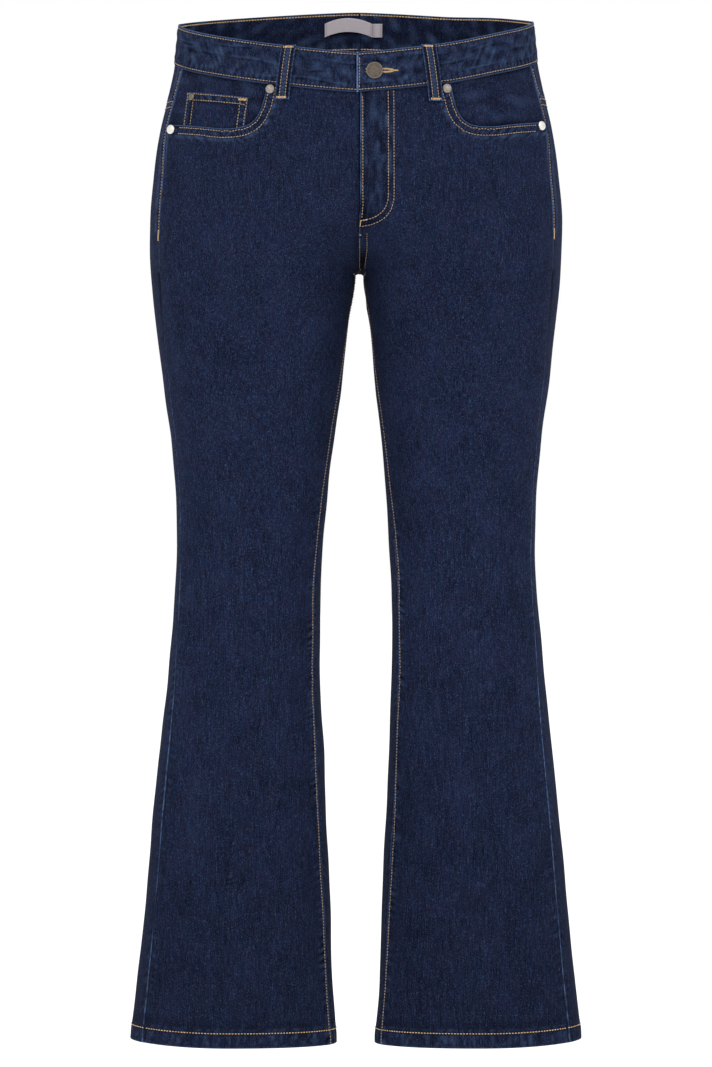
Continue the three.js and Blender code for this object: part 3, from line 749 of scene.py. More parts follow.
def mouth_look(cloth, side):
    """The faced band along the pocket mouth."""
    look = np.zeros((3, *cloth.x.shape))
    near = cloth.height[:, 0] > -130
    path = mouth_path(side)[0]
    gap = line_distance(cloth.points[near], path)
    cloth.edge[near] = np.minimum(cloth.edge[near], gap)
    run = cloth.across[near] - 0.7 * cloth.height[near]
    wave = puckers(71 + side, run, gap, 6.5, 0.4)
    first, second = MOUTH_ROWS
    between = smooth((gap - first) / 1.5) * within(gap, second - 2, 1.5)
    relief = 0.45 * within(gap, second + 0.9, 2.2) + 0.2 * wave * between
    patchy = 0.45 + 0.55 * uneven(75 + side, run + 0.4 * gap, 6)
    below = puckers(77 + side, run, gap, 9, 0.9)
    under = smooth((gap - second - 1) / 1.5) * within(gap, second + 3, 7)
    wear = (0.75 + 0.2 * wave) * hump(gap, 0.9) + 0.3 * ridge(wave) * between
    wear = wear + 0.4 * patchy * hump(gap - second - 2.6, 1.6) + 0.22 * under * ridge(below)
    # painted shade, with some dye kept, in the puckers' hollows along and under the mouth
    shade = 0.75 * hollow(wave) * between + 0.9 * under * hollow(below) ** 1.3
    look[:, near] = np.array([relief, wear, shade]) + row_look(gap - first) + row_look(gap - second)
    return look


def fly_inside(x, height, reach, low):
    """How far inside the J of the fly a place lies, from its curved outline."""
    power, reach = FLY["square"], reach + FLY["back"]
    out = np.maximum(x - CENTRE_DRIFT + FLY["back"], 0) / reach
    down = np.maximum(FLY["straight"] - height, 0) / (FLY["straight"] - low)
    return (1 - (out**power + down**power) ** (1 / power)) * reach


def centre_look(cloth, side):
    """The fly's raised flap on the wearer's left, the edge under it, and the crotch seam."""
    z, edge = cloth.height, cloth.start
    above = smooth((z - CROTCH + 2) / 4)
    fly = smooth((z + 203) / 5)
    relief, wear, shade = np.zeros((3, *z.shape))
    if side < 0:
        relief -= 0.8 * fly * above * within(edge, 1.0, 6)
        # painted shadow of the flap along the edge under it, and painted shade beside the crotch seam
        shade += 0.85 * fly * above * hump(edge, 2.0) + 0.7 * (1 - fly) * above * within(edge, 2, 7)
        return np.array([relief, wear, shade])
    inside = fly_inside(cloth.x, z, FLY["outer"], FLY["outer_low"])
    flap = smooth((inside + 1.5) / 3.5) * above * fly
    fold = cloudy(83, 2.4 * cloth.x + 0.3 * z, 0.45 * z, 9)
    fold = fold + 0.8 * cloudy(84, 3.6 * cloth.x - 0.2 * z, 0.5 * z, 8)
    fine = uneven(88, 1.6 * cloth.x + 0.25 * z, 2.3) * uneven(89, z + 2 * cloth.x, 7)
    fold = 0.42 * fold + 0.3 * uneven(85, cloth.x + 0.1 * z, 3.1) + 0.7 * fine - 0.12
    foot = smooth((-146 - z) / 30)
    relief += 0.85 * flap + 0.3 * flap * fold
    worn_edge = 0.75 + 0.25 * uneven(87, z, 9) - 0.35 * foot
    wear += worn_edge * fly * above * hump(edge - 0.3, 0.9) + (0.4 - 0.15 * foot) * flap * ridge(fold)
    # painted shade in the flap's fold hollows; the whole flap is also darker toward its foot
    shade += (0.65 + 0.5 * foot) * flap * hollow(fold) + (0.12 + 0.22 * foot) * flap
    felled = (1 - fly) * above
    relief += 0.5 * felled * within(edge, 8.8, 1.6)
    wear += 0.6 * felled * hump(edge, 0.8) * smooth((z + 222) / 14)
    low = smooth((-208 - z) / 16)
    # painted shade between the felled seam's rows and beside them, low down
    shade += felled * (1.1 * low * within(edge - 1.5, 5, 2.5) + 0.35 * low * within(edge, 11, 8))
    look = np.array([relief, wear, shade])
    inner = fly_inside(cloth.x, z, FLY["width"], FLY["low"])
    j_rows = row_look(inner) + row_look(fly_inside(cloth.x, z, FLY["outer"], FLY["outer_low"]))
    look += j_rows * smooth((z + 200) / 4) * above
    look += row_look(edge - FLY_EDGE_ROW) * fly * above
    return look + (row_look(edge - 1.3) + row_look(edge - 8)) * felled


def pocket_share(x, height):
    """1 well inside a back pocket, and 0 outside it."""
    high, tall = BACK_POCKET["top"], BACK_POCKET["side"]
    off = np.abs(np.abs(x) - BACK_POCKET["middle"]) - BACK_POCKET["narrow"] / 2
    return within(off, 2, 14) * smooth((high + 10 - height) / 8) * smooth((height - high + tall + 30) / 14)


def back_look(cloth, side):
    z = cloth.height
    below = smooth((CROTCH - z) / 6)
    strong = leg_strength(z)
    look = hem_look(cloth, 131 + side)
    look += seam_look(cloth.start, z, 151 + side, None, 0.4, 1.25, 0.3, 11) * strong
    look += below * seam_look(cloth.end, z, 141 + side, None, 0.35, 0.6, 0.4, 9) * strong
    free = 1 - pocket_share(cloth.x, z)
    look[0] += free * (0.6 * cloudy(161 + side, cloth.x, z, 80) + 0.3 * cloudy(167 + side, cloth.x, z, 34))
    look[0] += free * crease_relief(cloth, False)
    look += felled_look(cloth, side, cloth.end, 171) * smooth((z - CROTCH + 2) / 4)
    look[2] += groin_shade(cloth) + foot_shade(z)
    look += hip_look(cloth, side) * smooth((z + 196) / 4)
    top = seam_look(cloth.top, cloth.x, 181 + side, None, 0.3, 0.4, 0.2, 8)
    return look + top + row_look(cloth.top - EDGE_ROW) + row_look(cloth.top - SECOND_ROW)


def hip_look(cloth, side):
    """The topstitched edge behind the hip seam, with painted shade in the pulls beside it and a rubbed strip.
    """
    away, z = cloth.start, cloth.height
    pull = uneven(157 + side, z, 7.5)
    wear = 0.5 * hump(away - 0.5, 0.8) + 0.3 * hump(away - 10.5, 3) * (0.75 + 0.25 * pull)
    shade = 1.1 * np.maximum(0.2 - pull, 0) * hump(away - 5.6, 2.0)
    return np.array([-0.2 * hump(away - 5.6, 2.0), wear, shade]) + row_look(away - HIP_ROW)


def felled_look(cloth, side, away, seed):
    """The centre-back seam: a doubled, twice-stitched strip on the wearer's left."""
    look = seam_look(away, cloth.height, seed + side, None, 0.2, 0.45, 0.2, 10)
    if side > 0:
        look[0] += 0.4 * within(away, 8.8, 1.6)
        look += row_look(away - EDGE_ROW) + row_look(away - SECOND_ROW)
    return look


def leg_thick(cloth):
    return CLOTH_THICK + (HEM_THICK - CLOTH_THICK) * within(cloth.foot, HEM["fold"] - 1, 1.5)


def make_legs():
    for word, side in SIDES:
        cloth = leg_cloth(side, front_turn, front_top, FRONT_COLUMNS)
        piece = cloth.wall(f"denim_front_{word}", front_look(cloth, side), thick=leg_thick(cloth))
        sheet_of(piece, cloth, f"front_leg_{word}")
        cloth = leg_cloth(side, back_turn, back_top, BACK_COLUMNS)
        piece = cloth.wall(f"denim_back_{word}", back_look(cloth, side), thick=leg_thick(cloth))
        sheet_of(piece, cloth, f"back_leg_{word}")


# ---- Yokes ----
YOKE_STEP = 3.4


def seam_heights(side, shares, turn_of, start):
    height = np.full(np.shape(shares), float(start))
    for _ in range(ROUNDS):
        height = waist_seam(side, turn_of(shares, height))
    return height


def make_yokes():
    for word, side in SIDES:
        shares = column_shares(side, back_turn, np.array([YOKE["middle"]]), BACK_COLUMNS)[0]
        low = yoke_seam(side, back_turn(shares, YOKE["side"])) + HALF_GAP
        high = seam_heights(side, shares, back_turn, -10) + TUCK
        height = lerp(low, high, graded_shares(UPPER_LENGTH, YOKE_STEP)[:, None])
        cloth = Cloth(side, back_turn(shares, height), height)
        look = seam_look(cloth.start, cloth.height, 201 + side, None, 0.4, 0.6, 0.25, 9)
        look += seam_look(cloth.foot, cloth.x, 211 + side, None, 0.25, 0.6, 0.25, 8)
        look += seam_look(cloth.top, cloth.x, 221 + side, None, 0.1, 0.2, 0.25, 8)
        look += felled_look(cloth, side, cloth.end, 231) + hip_look(cloth, side)
        look[0] += 0.3 * cloudy(241 + side, cloth.x, cloth.height, 40)
        piece = cloth.wall(f"denim_yoke_{word}", look)
        sheet_of(piece, cloth, f"yoke_{word}")


# ---- Pockets ----
FACING_STEPS = (1.9, 2.8)
COIN_STEP = 1.0
BACK_POCKET_STEP = 2.2


def make_facings():
    """The back layer of each front pocket, seen over its mouth, and the coin pocket on the right one."""
    for word, side in SIDES:
        shares = graded_shares(UPPER_LENGTH, FACING_STEPS[0])[None]
        low = np.full(shares.shape, float(FACING["bottom"]))
        high = np.full(shares.shape, FACING["guess"])
        for _ in range(FACING["rounds"]):
            turn = lerp(turn_at(side, side * FACING["inside"], high, True), front_turn(1, high), shares)
            high = waist_seam(side, turn) - HALF_GAP
        height = lerp(low, high, graded_shares(UPPER_LENGTH, FACING_STEPS[1])[:, None])
        turn = lerp(turn_at(side, side * FACING["inside"], height, True), front_turn(1, height), shares)
        cloth = Cloth(side, turn, height)
        clear = cloth.height - mouth_height(side, cloth.x)
        eased = (1 - smooth(cloth.end / 15)) * smooth((clear - 1) / 7)
        out = -FACING["depth"] + (FACING["depth"] - 0.2) * eased
        look = seam_look(cloth.end, cloth.height, 251 + side, None, 0.05, 0.5, 0.12, 6)
        # painted shade in the bulges' hollows, and painted shadow just inside the mouth's edge and under the
        # waistband
        bulge = cloudy(261 + side, cloth.x + 0.5 * cloth.height, 1.6 * cloth.height, 14)
        look += np.array([0.15 * bulge, 0.07 * ridge(bulge), 0.25 * hollow(bulge)])
        look[2] += 0.95 * hump(clear, 3.2) + 0.5 * hump(cloth.top, 2.2)
        piece = cloth.wall(f"denim_pocket_{word}", look, out=out, thick=FACING["thick"])
        sheet_of(piece, cloth, f"pocket_facing_{word}")
    make_coin_pocket()


def coin_corners():
    """Top left, top right, low right and low left, seen from the front."""
    return [np.array(corner, float) for corner in COIN["corners"]]


def make_coin_pocket():
    across, up = graded_shares(70, COIN_STEP), graded_shares(46, COIN_STEP)
    top_left, top_right, low_right, low_left = coin_corners()
    s, t = across[None, :, None], up[:, None, None]
    place = lerp(lerp(low_left, low_right, s), lerp(top_left, top_right, s), t)
    cloth = Cloth.on_face(place[..., 0], place[..., 1], True)
    away = np.minimum.reduce([cloth.start, cloth.end, cloth.top])
    wave = puckers(271, cloth.x + cloth.height, away, 6.0, 0.5)
    strip = smooth((away - 2) / 1.5) * within(away, 6, 2)
    # painted shade, with some dye kept, in the puckers' hollows, and painted shade where the raised border
    # steps down
    look = np.array([0.12 * within(away, 7.6, 1.5) + 0.08 * wave * strip,
                     0.7 * hump(away, 0.7) + 0.3 * ridge(wave) * strip,
                     0.7 * hollow(wave) * strip + 0.5 * hump(away - 9.8, 1.6)])
    for row in COIN_ROWS:
        look += row_look(away - row, 0.15)
    piece = cloth.wall("denim_coin_pocket", look, out=-COIN["depth"], thick=COIN["thick"])
    sheet_of(piece, cloth, "coin_pocket")


def back_pocket_place(across, up):
    """x and z on a back pocket, from shares across and up it, for the wearer's left."""
    pocket = BACK_POCKET
    top = pocket["top"] + pocket["tilt"] * (2 * across - 1)
    foot = pocket["top"] - pocket["side"] + pocket["tilt"] * (2 * across - 1)
    foot = foot - pocket["point"] * (1 - np.abs(2 * across - 1))
    z = lerp(foot, top, up)
    wide = lerp(pocket["narrow"], pocket["wide"], np.clip((z - pocket["top"]) / pocket["side"] + 1, 0, 1))
    return pocket["middle"] + (across - 0.5) * wide, z


def make_back_pockets():
    for word, side in SIDES:
        across = graded_shares(BACK_POCKET["length"], BACK_POCKET_STEP)[None]
        up = graded_shares(135, BACK_POCKET_STEP)[:, None]
        x, z = back_pocket_place(across, up)
        cloth = Cloth.on_face(side * x, z, False)
        away = np.minimum.reduce([cloth.start, cloth.end, cloth.foot])
        look = seam_look(away, cloth.x + cloth.height, 281 + side, None, 0.3, 0.75, 0.2, 9)
        look += seam_look(cloth.top, cloth.x, 291 + side, None, 0.35, 0.75, 0.2, 16)
        look[0] += 0.35 * cloudy(301 + side, cloth.x, cloth.height, 40)
        for row in (EDGE_ROW, SECOND_ROW):
            look += row_look(away - row)
        look += row_look(cloth.top - EDGE_ROW) + row_look(cloth.top - POCKET_HEM_ROW)
        piece = cloth.wall(f"denim_back_pocket_{word}", look, out=SEAM_GAP + CLOTH_THICK)
        sheet_of(piece, cloth, f"back_pocket_{word}")


# ---- Waistband ----
BAND_THICK = 2.6
BAND_STEP = 1.5
LOW_ROW = 2.7  # the waistband's two rows lie this far from its edges
INSIDE_FOLD = 9.0
UNDER_REACH = 70  # the stretch of the lower end that can lie under the upper one
BAND_ROLL = 1.15


def band_turns(side, start_x, before, after):
    """Sides and turns from a front end, over the centre of the front, round to the centre of the back."""
    over = np.linspace(turn_at(-side, start_x, RIM["front"], True), -90 + SEAM_TURN, before)
    round_body = np.linspace(-90 + SEAM_TURN, 270 - SEAM_TURN, after)
    sides = np.concatenate([np.full(before, -side), np.full(after, side)])
    return sides, np.concatenate([over, round_body])


def band_cloth(side, start_x):
    """One half of the waistband, from an end at the front round to the centre of the back."""
    before, after = 60, 900
    sides, turns = band_turns(side, start_x, before, after)
    middle = waist_seam(sides, turns) + BAND_HEIGHT / 2
    run = distances(body_point(sides, turns, middle)[None], 1)[0]
    stops = graded(run[-1], BAND_STEP)
    crosses = stops < run[before - 1]
    column_side = np.where(crosses, -side, side)
    turn_before = np.interp(stops, run[:before], turns[:before])
    turn = np.where(crosses, turn_before, np.interp(stops, run[before:], turns[before:]))
    rise = graded(BAND_HEIGHT - SEAM_GAP, BAND_STEP)[:, None]
    height = waist_seam(column_side, turn) + HALF_GAP + rise
    return Cloth(column_side, turn, height)


def band_look(cloth, seed):
    """The outer side of the waistband: soft lengthwise folds, mottles, and puckers at both rows."""
    up, down, girth = cloth.foot, cloth.top, cloth.across
    low = puckers(seed, girth, up, 6.6, 0.35)
    high = puckers(seed + 7, girth, down, 6.4, -0.4)
    fine = uneven(seed + 13, girth - 0.5 * up, 1.7) * uneven(seed + 14, girth + up, 9) * 1.6
    drift = up / 13 + 0.55 * uneven(seed + 21, girth, 46) + 0.12 * uneven(seed + 25, girth, 9)
    fold = 0.6 * np.sin(2 * math.pi * drift) * (0.62 + 0.38 * uneven(seed + 22, girth, 30))
    mottle = cloudy(seed + 23, 0.8 * girth + 0.5 * up, 1.1 * up, 6)
    middle = smooth((up - 3.5) / 4) * smooth((down - 3.5) / 4)
    crease = band_creases(up, girth, seed) * middle
    low_strip = smooth((up - 3) / 1.5) * within(up, 6, 8)
    high_strip = smooth((down - 3) / 1.5) * within(down, 4.5, 5)
    relief = (0.3 + 0.38 * fold + 0.14 * mottle) * middle + 0.3 * low * low_strip + 0.16 * high * high_strip
    relief = relief + 0.25 * crease
    wear = 0.95 * hump(down - 0.3, 0.9) * (0.75 + 0.25 * high) + 0.4 * hump(up, 0.9)
    wear = wear + 0.3 * ridge(low) * low_strip + 0.24 * ridge(high) * high_strip
    rubbed = 0.08 * ridge(fold) + 0.1 * ridge(mottle) + 0.24 * ridge(fine)
    wear = wear + rubbed * middle
    # painted shade, with some dye kept, in the hollows of the puckers, folds, mottles and creases
    shade = 0.9 * hollow(low) ** 1.5 * low_strip
    shade = shade + (0.35 * hollow(fold) + 0.42 * hollow(mottle)) * middle
    wear, shade = wear + 0.22 * ridge(crease), shade + 0.7 * hollow(crease)
    look = np.array([relief, wear, shade])
    return look + row_look(up - LOW_ROW) + row_look(down - LOW_ROW)


def band_creases(up, girth, seed):
    """Thin lengthwise creases that wander up and down the waistband and die away: ridge less trough."""
    total = 0
    for turn, level in enumerate((0.26, 0.45, 0.62, 0.78)):
        own = seed + 61 + 5 * turn
        line = up - BAND_HEIGHT * level - 5 * uneven(own, girth, 48) - 0.8 * uneven(own + 1, girth, 9)
        strength = smooth(0.35 + 0.9 * uneven(own + 2, girth, 26))
        total = total + strength * (hump(line - 0.9, 0.9) - hump(line + 1.0, 1.1))
    return total


def band_lining(cloth, seed):
    """The inner side of the waistband: its turned-in fold, a lengthwise crease and two pulled rows."""
    up, down, girth = cloth.foot, cloth.top, cloth.across
    turned_in = within(up, INSIDE_FOLD, 1.5)
    tufts = uneven(seed, girth + 0.2 * up, 3.6)
    crease = hump(up - 21 - 3 * uneven(seed + 1, girth, 40), 3.5)
    mottle = cloudy(seed + 2, girth, up, 9)
    relief = 0.35 * turned_in + 0.2 * mottle - 0.4 * crease
    relief = relief - 0.3 * hump(down - LOW_ROW, 1.2) - 0.3 * hump(up - LOW_ROW, 1.2)
    wear = 0.42 * turned_in * np.maximum(tufts + 0.2, 0) + 0.2 * ridge(mottle) + 0.3 * hump(down, 0.8)
    # painted shade under the turned-in fold's edge, in the crease and in the mottles' hollows
    shade = 0.5 * hump(up - INSIDE_FOLD - 1.4, 1.3) + 0.35 * crease + 0.25 * hollow(mottle)
    return relief, wear, shade


def make_waistband():
    for word, side, start in (("left", 1, OVERLAP_END), ("right", -1, UNDERLAP_END)):
        cloth = band_cloth(side, start)
        look = band_look(cloth, 311 + 40 * side)
        out = np.full(cloth.x.shape, BAND_PROUD)
        if side > 0:
            near = within(cloth.start, 1.3, 0.8)
            look[1] += near * (1.5 + 0.8 * uneven(315, cloth.height, 2.2))
            look += row_look(cloth.start - END_ROW)
        else:
            lapped = cloth.across < UNDER_REACH
            under = smooth((cloth.x + 1.2) / 1.5) * lapped
            out = BAND_PROUD - UNDERLAP_DROP * under
            # painted shadow of the upper end's edge on the lower end
            look[2] += 0.6 * hump(cloth.x - 1, 1.6) * lapped
            look[0] *= 1 - under
        lining = band_lining(cloth, 321 + side)
        piece = cloth.wall(
            f"denim_waistband_{word}", look, out, BAND_THICK, roll=BAND_ROLL, lining=lining,
            finishes=("denim", "denim"),
        )
        sheet_of(piece, cloth, f"waistband_{word}")


# ---- Fly ----
def fly_strip(strip):
    """A straight upright strip behind the fly."""
    left, right, step = strip["from"] + CENTRE_DRIFT, strip["to"] + CENTRE_DRIFT, strip["step"]
    across = graded(right - left, step)[None]
    up = graded(FLY_TOP - strip["bottom"], step)[:, None]
    return Cloth.on_face(left + across + 0 * up, strip["bottom"] + up + 0 * across, True)


def make_fly():
    """The shield and the zip behind the two fronts."""
    cloth = fly_strip(SHIELD)
    look = seam_look(cloth.start, cloth.height, 341, EDGE_ROW, 0.1, 0.4, 0.1, 8)
    look[0] += 0.15 * cloudy(343, cloth.x, cloth.height, 25) - 0.1
    piece = cloth.wall("denim_fly_shield", look, out=-SHIELD["depth"])
    sheet_of(piece, cloth, "fly_shield")
    cloth = fly_strip(ZIP)
    off = np.abs(cloth.x - CENTRE_DRIFT)
    teeth = np.sin(2 * math.pi * cloth.height / ZIP["tooth"] + (cloth.x > CENTRE_DRIFT) * math.pi)
    chain = within(off, 2.2, 0.6)
    relief = 0.15 * chain * (0.4 + 0.6 * np.clip(2 * teeth, -1, 1)) - 0.1
    look = np.array([relief, chain * (0.5 + 0.5 * teeth), 0 * off])
    tape = ("zip_tape", "zip_tape")
    piece = cloth.wall("zip_tape", look, out=-ZIP["depth"], thick=ZIP["thick"], finishes=tape)
    sheet_of(piece, cloth, "zip")


# ---- Belt loops ----
LOOP_ROW = 4.5
LOOP_LOWERED = 2.6  # the side and back loops stop this far under the rim
LOOP_ROLL = 0.8
LOOP_STEPS = (0.8, 1.0)
LOOP_TACK = {"inset": 1.9, "margin": 0.14}
BENDS = 11  # rows over which a loop's bends are rounded


def loop_places():
    """For each loop: its name, its grid's x, z and share of the length, and whether it is on the front."""
    share_across = graded_shares(LOOP_WIDTH, LOOP_STEPS[0]) - 0.5
    for name, top, bottom, below, on_front in LOOP_ROWS:
        share_up = graded_shares(BAND_HEIGHT + below, LOOP_STEPS[1])
        side = -1 if top < 0 else 1
        shift = CENTRE_DRIFT if top == 0 else 0
        rim = float(rim_height(side, turn_at(side, top + shift, RIM["side"], on_front)))
        foot = rim - BAND_HEIGHT - below
        rim -= 0 if on_front else LOOP_LOWERED
        along = 1 - share_up[:, None]
        x = lerp(top, bottom, along) + share_across[None] * LOOP_WIDTH + shift
        yield name, x, lerp(rim, foot, along) + 0 * x, along + 0 * x, on_front


def make_belt_loops():
    shares, stands = zip(*LOOP_STAND)
    for index, (name, x, z, along, on_front) in enumerate(loop_places()):
        cloth = Cloth.on_face(x, z, on_front)
        stand = np.interp(along, shares, stands)
        kernel = np.hanning(BENDS) / np.hanning(BENDS).sum()
        stand[:] = np.convolve(np.pad(stand[:, 0], BENDS // 2, mode="edge"), kernel, mode="valid")[:, None]
        side_away = np.minimum(cloth.start, cloth.end)
        ends = np.minimum(cloth.foot, cloth.top)
        wave = puckers(351 + index, cloth.height, side_away, 4.6, 0.5)
        strip = within(side_away, 2.6, 1.2)
        relief = 0.25 * within(side_away, 3.4, 1.0) + 0.12 * wave * strip - 0.35 * hump(ends - 4.2, 2.0)
        wear = 0.7 * hump(side_away - 0.4, 0.7) * (0.6 + 0.4 * wave) + 0.7 * hump(ends, 1.2)
        wear = wear + 0.35 * smooth((side_away - 5.0) / 1.0) * (0.6 + 0.4 * wave)
        # painted shade, with some dye kept, in the puckers' hollows, and painted shade where the raised
        # folded sides step down
        shade = 0.4 * hollow(wave) * strip + 0.7 * hump(side_away - 2.6, 1.3)
        look = np.array([relief, wear, shade])
        look += row_look(side_away - LOOP_ROW, 0.18)
        out = BAND_PROUD + stand + LOOP_THICK
        piece = cloth.wall(f"denim_{name}", look, out=out, thick=LOOP_THICK, roll=LOOP_ROLL)
        sheet_of(piece, cloth, name)


# ---- Label ----
LABEL_STEP = 0.9


def make_labels():
    """A bare woven strip sewn inside the back of the waistband, and a bare tab beside it."""
    reach = LABEL["right"] - LABEL["left"]
    middle = (LABEL["left"] + LABEL["right"]) / 2
    for name, node, left, right in (
        ("label_strip", "label", LABEL["left"], LABEL["right"]),
        ("label_tab", "size_tab", SIZE_TAB["left"], SIZE_TAB["right"]),
    ):
        across = graded(right - left, LABEL_STEP)[None] + left
        bow = np.minimum(1, np.abs(2 * (across - middle) / reach))
        rise = graded(LABEL["height"], LABEL_STEP)[:, None]
        z = LABEL["top"] - LABEL["height"] + rise + LABEL["arch"] * (1 - bow**2)
        cloth = Cloth.on_face(across + drift_at(z), z, False)
        cloth.normals = -cloth.normals
        sewn = hump(cloth.start - LABEL["sewn"], 1.0) + hump(cloth.end - LABEL["sewn"], 1.0)
        relief = 0.15 * cloudy(361, cloth.x, cloth.height, 9) - 0.3 * sewn
        wear = 0.3 * hump(cloth.foot, 0.8) + 0.3 * hump(cloth.top, 0.8)
        bulge = LABEL["bulge"] * smooth(np.minimum(cloth.start, cloth.end) / (0.4 * (right - left)))
        # painted shade along the sewn lines at both ends
        look = np.array([relief, wear, 0.4 * sewn])
        out = LABEL["inward"] + bulge
        piece = cloth.wall(name, look, out=out, thick=LABEL["thick"], finishes=("ribbon", "ribbon"))
        sheet_of(piece, cloth, node)


# ---- Stitches ----
STITCH_SIDES = 5
# Places along a stitch, as shares of half its length, and how thick it is at each.
STITCH_RINGS = ((-1.0, 0.35), (-0.66, 0.9), (0.0, 1.0), (0.66, 0.9), (1.0, 0.35))
STITCH_LIFT = 0.42  # share of its width that a stitch's middle stands over its ends
SLANT = 0.05  # unevenness of the stitches' directions
UNEVEN_LENGTH = 0.06
NEARBY = 0.4  # the way along a path is taken over this much of it on both sides
ABOVE = 1.5  # places are snapped to a piece from this far over it
HIP_STITCHES = {"low": -190, "tack_low": -203, "tack_high": -191}
HIP_TURN = 62.0  # about where the hip seam meets the waistband
YOKE_ROW_ENDS = (0.012, 0.985)
MOUTH_STITCHES = {"outer": 191, "top": -47}
COIN_SEWN = 0.84  # share of the coin pocket's sides that has stitches
# Places along the slit from the button's middle, and how far the stitches lie from it there.
BUTTONHOLE = ((-9, 1.5), (13, 1.6), (20, 0.7))
BUTTONHOLE_BAR = (19, 25)


def along_run(at, run, values):
    """Rows of three values, read off at places along a run."""
    return np.stack([np.interp(at, run, values[:, k]) for k in range(3)], axis=-1)


def walk(path, pitch, start=0.5, end=0.5):
    """Evenly spaced places on a path, with the way along it and the way out of the cloth."""
    points, normals = path
    run = np.concatenate([[0], np.cumsum(np.linalg.norm(np.diff(points, axis=0), axis=1))])
    count = max(1, int((run[-1] - (start + end) * pitch) / pitch) + 1)
    at = start * pitch + np.arange(count) * pitch
    ahead, behind = np.minimum(at + NEARBY, run[-1]), np.maximum(at - NEARBY, 0)
    along = along_run(ahead, run, points) - along_run(behind, run, points)
    along = along / np.linalg.norm(along, axis=1, keepdims=True)
    return along_run(at, run, points), along, along_run(at, run, normals)


def snapped(places, normals, piece, face):
    """The places moved onto a finished piece of cloth."""
    tree = Cloth.finished[piece][face]
    found = []
    for place, normal in zip(places, normals):
        lift = ABOVE * normal if face == "outer" else -ABOVE * normal
        spot = tree.find_nearest(Vector(place + lift))[0]
        found.append(place if spot is None else np.array(spot))
    return np.array(found)


class Thread:
    """Collects stitches of one thread, then makes them one mesh."""

    def __init__(self, seed):
        self.rng = np.random.default_rng(seed)
        self.points, self.polygons, self.tints = [], [], []
        self.count = 0

    def stitch(self, places, along, out, length, width, sink=0.12):
        """Short rounded stitches that dip into the cloth at both ends."""
        number = len(places)
        out = out - along * (out * along).sum(1, keepdims=True)
        out = out / np.linalg.norm(out, axis=1, keepdims=True)
        aside = np.cross(along, out)
        along = along + SLANT * self.rng.normal(size=(number, 1)) * aside
        lengths = length * (1 + UNEVEN_LENGTH * self.rng.normal(size=(number, 1, 1)))
        angles = 2 * math.pi * np.arange(STITCH_SIDES) / STITCH_SIDES
        shares = np.array([share for share, _ in STITCH_RINGS])
        sizes = np.array([size for _, size in STITCH_RINGS]) * width / 2
        lift = width * (STITCH_LIFT * (1 - shares**2)) - sink
        a, o, s = along[:, None, None], out[:, None, None], aside[:, None, None]
        centre = places[:, None, None] + a * (shares[None, :, None, None] * lengths[..., None] / 2)
        centre = centre + o * lift[None, :, None, None]
        ring = sizes[None, :, None, None] * (
            s * np.cos(angles)[None, None, :, None] + 0.8 * o * np.sin(angles)[None, None, :, None]
        )
        points = (centre + ring).reshape(-1, 3)
        rings = len(STITCH_RINGS)
        index = np.arange(number * rings * STITCH_SIDES).reshape(number, rings, STITCH_SIDES) + self.count
        turned = np.roll(index, -1, axis=2)
        quads = np.stack([index[:, :-1], turned[:, :-1], turned[:, 1:], index[:, 1:]], axis=-1).reshape(-1, 4)
        self.points.append(points)
        self.polygons.append((quads, index[:, 0, ::-1], index[:, -1]))
        self.tints.append(np.repeat(self.rng.uniform(0, 1, number), rings * STITCH_SIDES))
        self.count += len(points)

    def row(self, path, piece, face="outer", pitch=3.2, length=2.5, width=1.0, start=0.5, end=0.5):
        """A row of stitches along a path on a piece. start and end count pitches left free."""
        places, along, out = walk(path, pitch, start, end)
        places = snapped(places, out, piece, face)
        self.stitch(places, along, out if face == "outer" else -out, length, width)

    def bartack(self, path, piece, across=2.6, pitch=0.8, width=0.8, face="outer"):
        """A dense bar of stitches that lie across a short path."""
        places, along, out = walk(path, pitch)
        places = snapped(places, out, piece, face)
        aside = np.cross(along, out)
        self.stitch(places, aside, out, across, width, sink=-0.1)

    def make(self, name, finish):
        quads = np.concatenate([part[0] for part in self.polygons])
        caps = np.concatenate([np.concatenate(part[1:]) for part in self.polygons])
        points = np.concatenate(self.points)
        values = {"tint": np.concatenate(self.tints)}
        piece = mesh_object(name, points, [quads, caps], [FINISHES[finish]], values=values)
        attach(piece, "root")


def face_path(places, on_front):
    """A path over places given as x and z, made dense."""
    places = np.array(places, float)
    run = np.concatenate([[0], np.cumsum(np.linalg.norm(np.diff(places, axis=0), axis=1))])
    at = np.linspace(0, run[-1], max(3, int(run[-1]) + 1))
    x, z = np.interp(at, run, places[:, 0]), np.interp(at, run, places[:, 1])
    return face_skin(x, z, on_front)


def moved_in(places, distance):
    """A line of x and z moved to its right-hand side by a distance."""
    places = np.array(places, float)
    along = np.gradient(places, axis=0)
    along /= np.linalg.norm(along, axis=1, keepdims=True)
    return places + distance * np.stack([along[:, 1], -along[:, 0]], axis=-1)


def seam_path(side, turn_of, at_end, distance, heights):
    """A path beside a panel's edge, at a distance across the cloth from it."""
    heights = np.asarray(heights, float)
    share = 1.0 if at_end else 0.0
    turn = turn_of(share, heights)
    step = body_point(side, turn + 1, heights) - body_point(side, turn - 1, heights)
    per_degree = np.linalg.norm(step, axis=-1) / 2
    inward = -1 if at_end else 1
    return skin(side, turn + inward * distance / per_degree, heights)


def ring_path(side, turn_of, height_of, low=0.0, high=1.0):
    """A path across a panel at heights that its turns give."""
    shares = np.linspace(low, high, 260)
    height = np.full(shares.shape, NEAR_WAIST)
    for _ in range(ROUNDS):
        height = height_of(turn_of(shares, height))
    return skin(side, turn_of(shares, height), height)


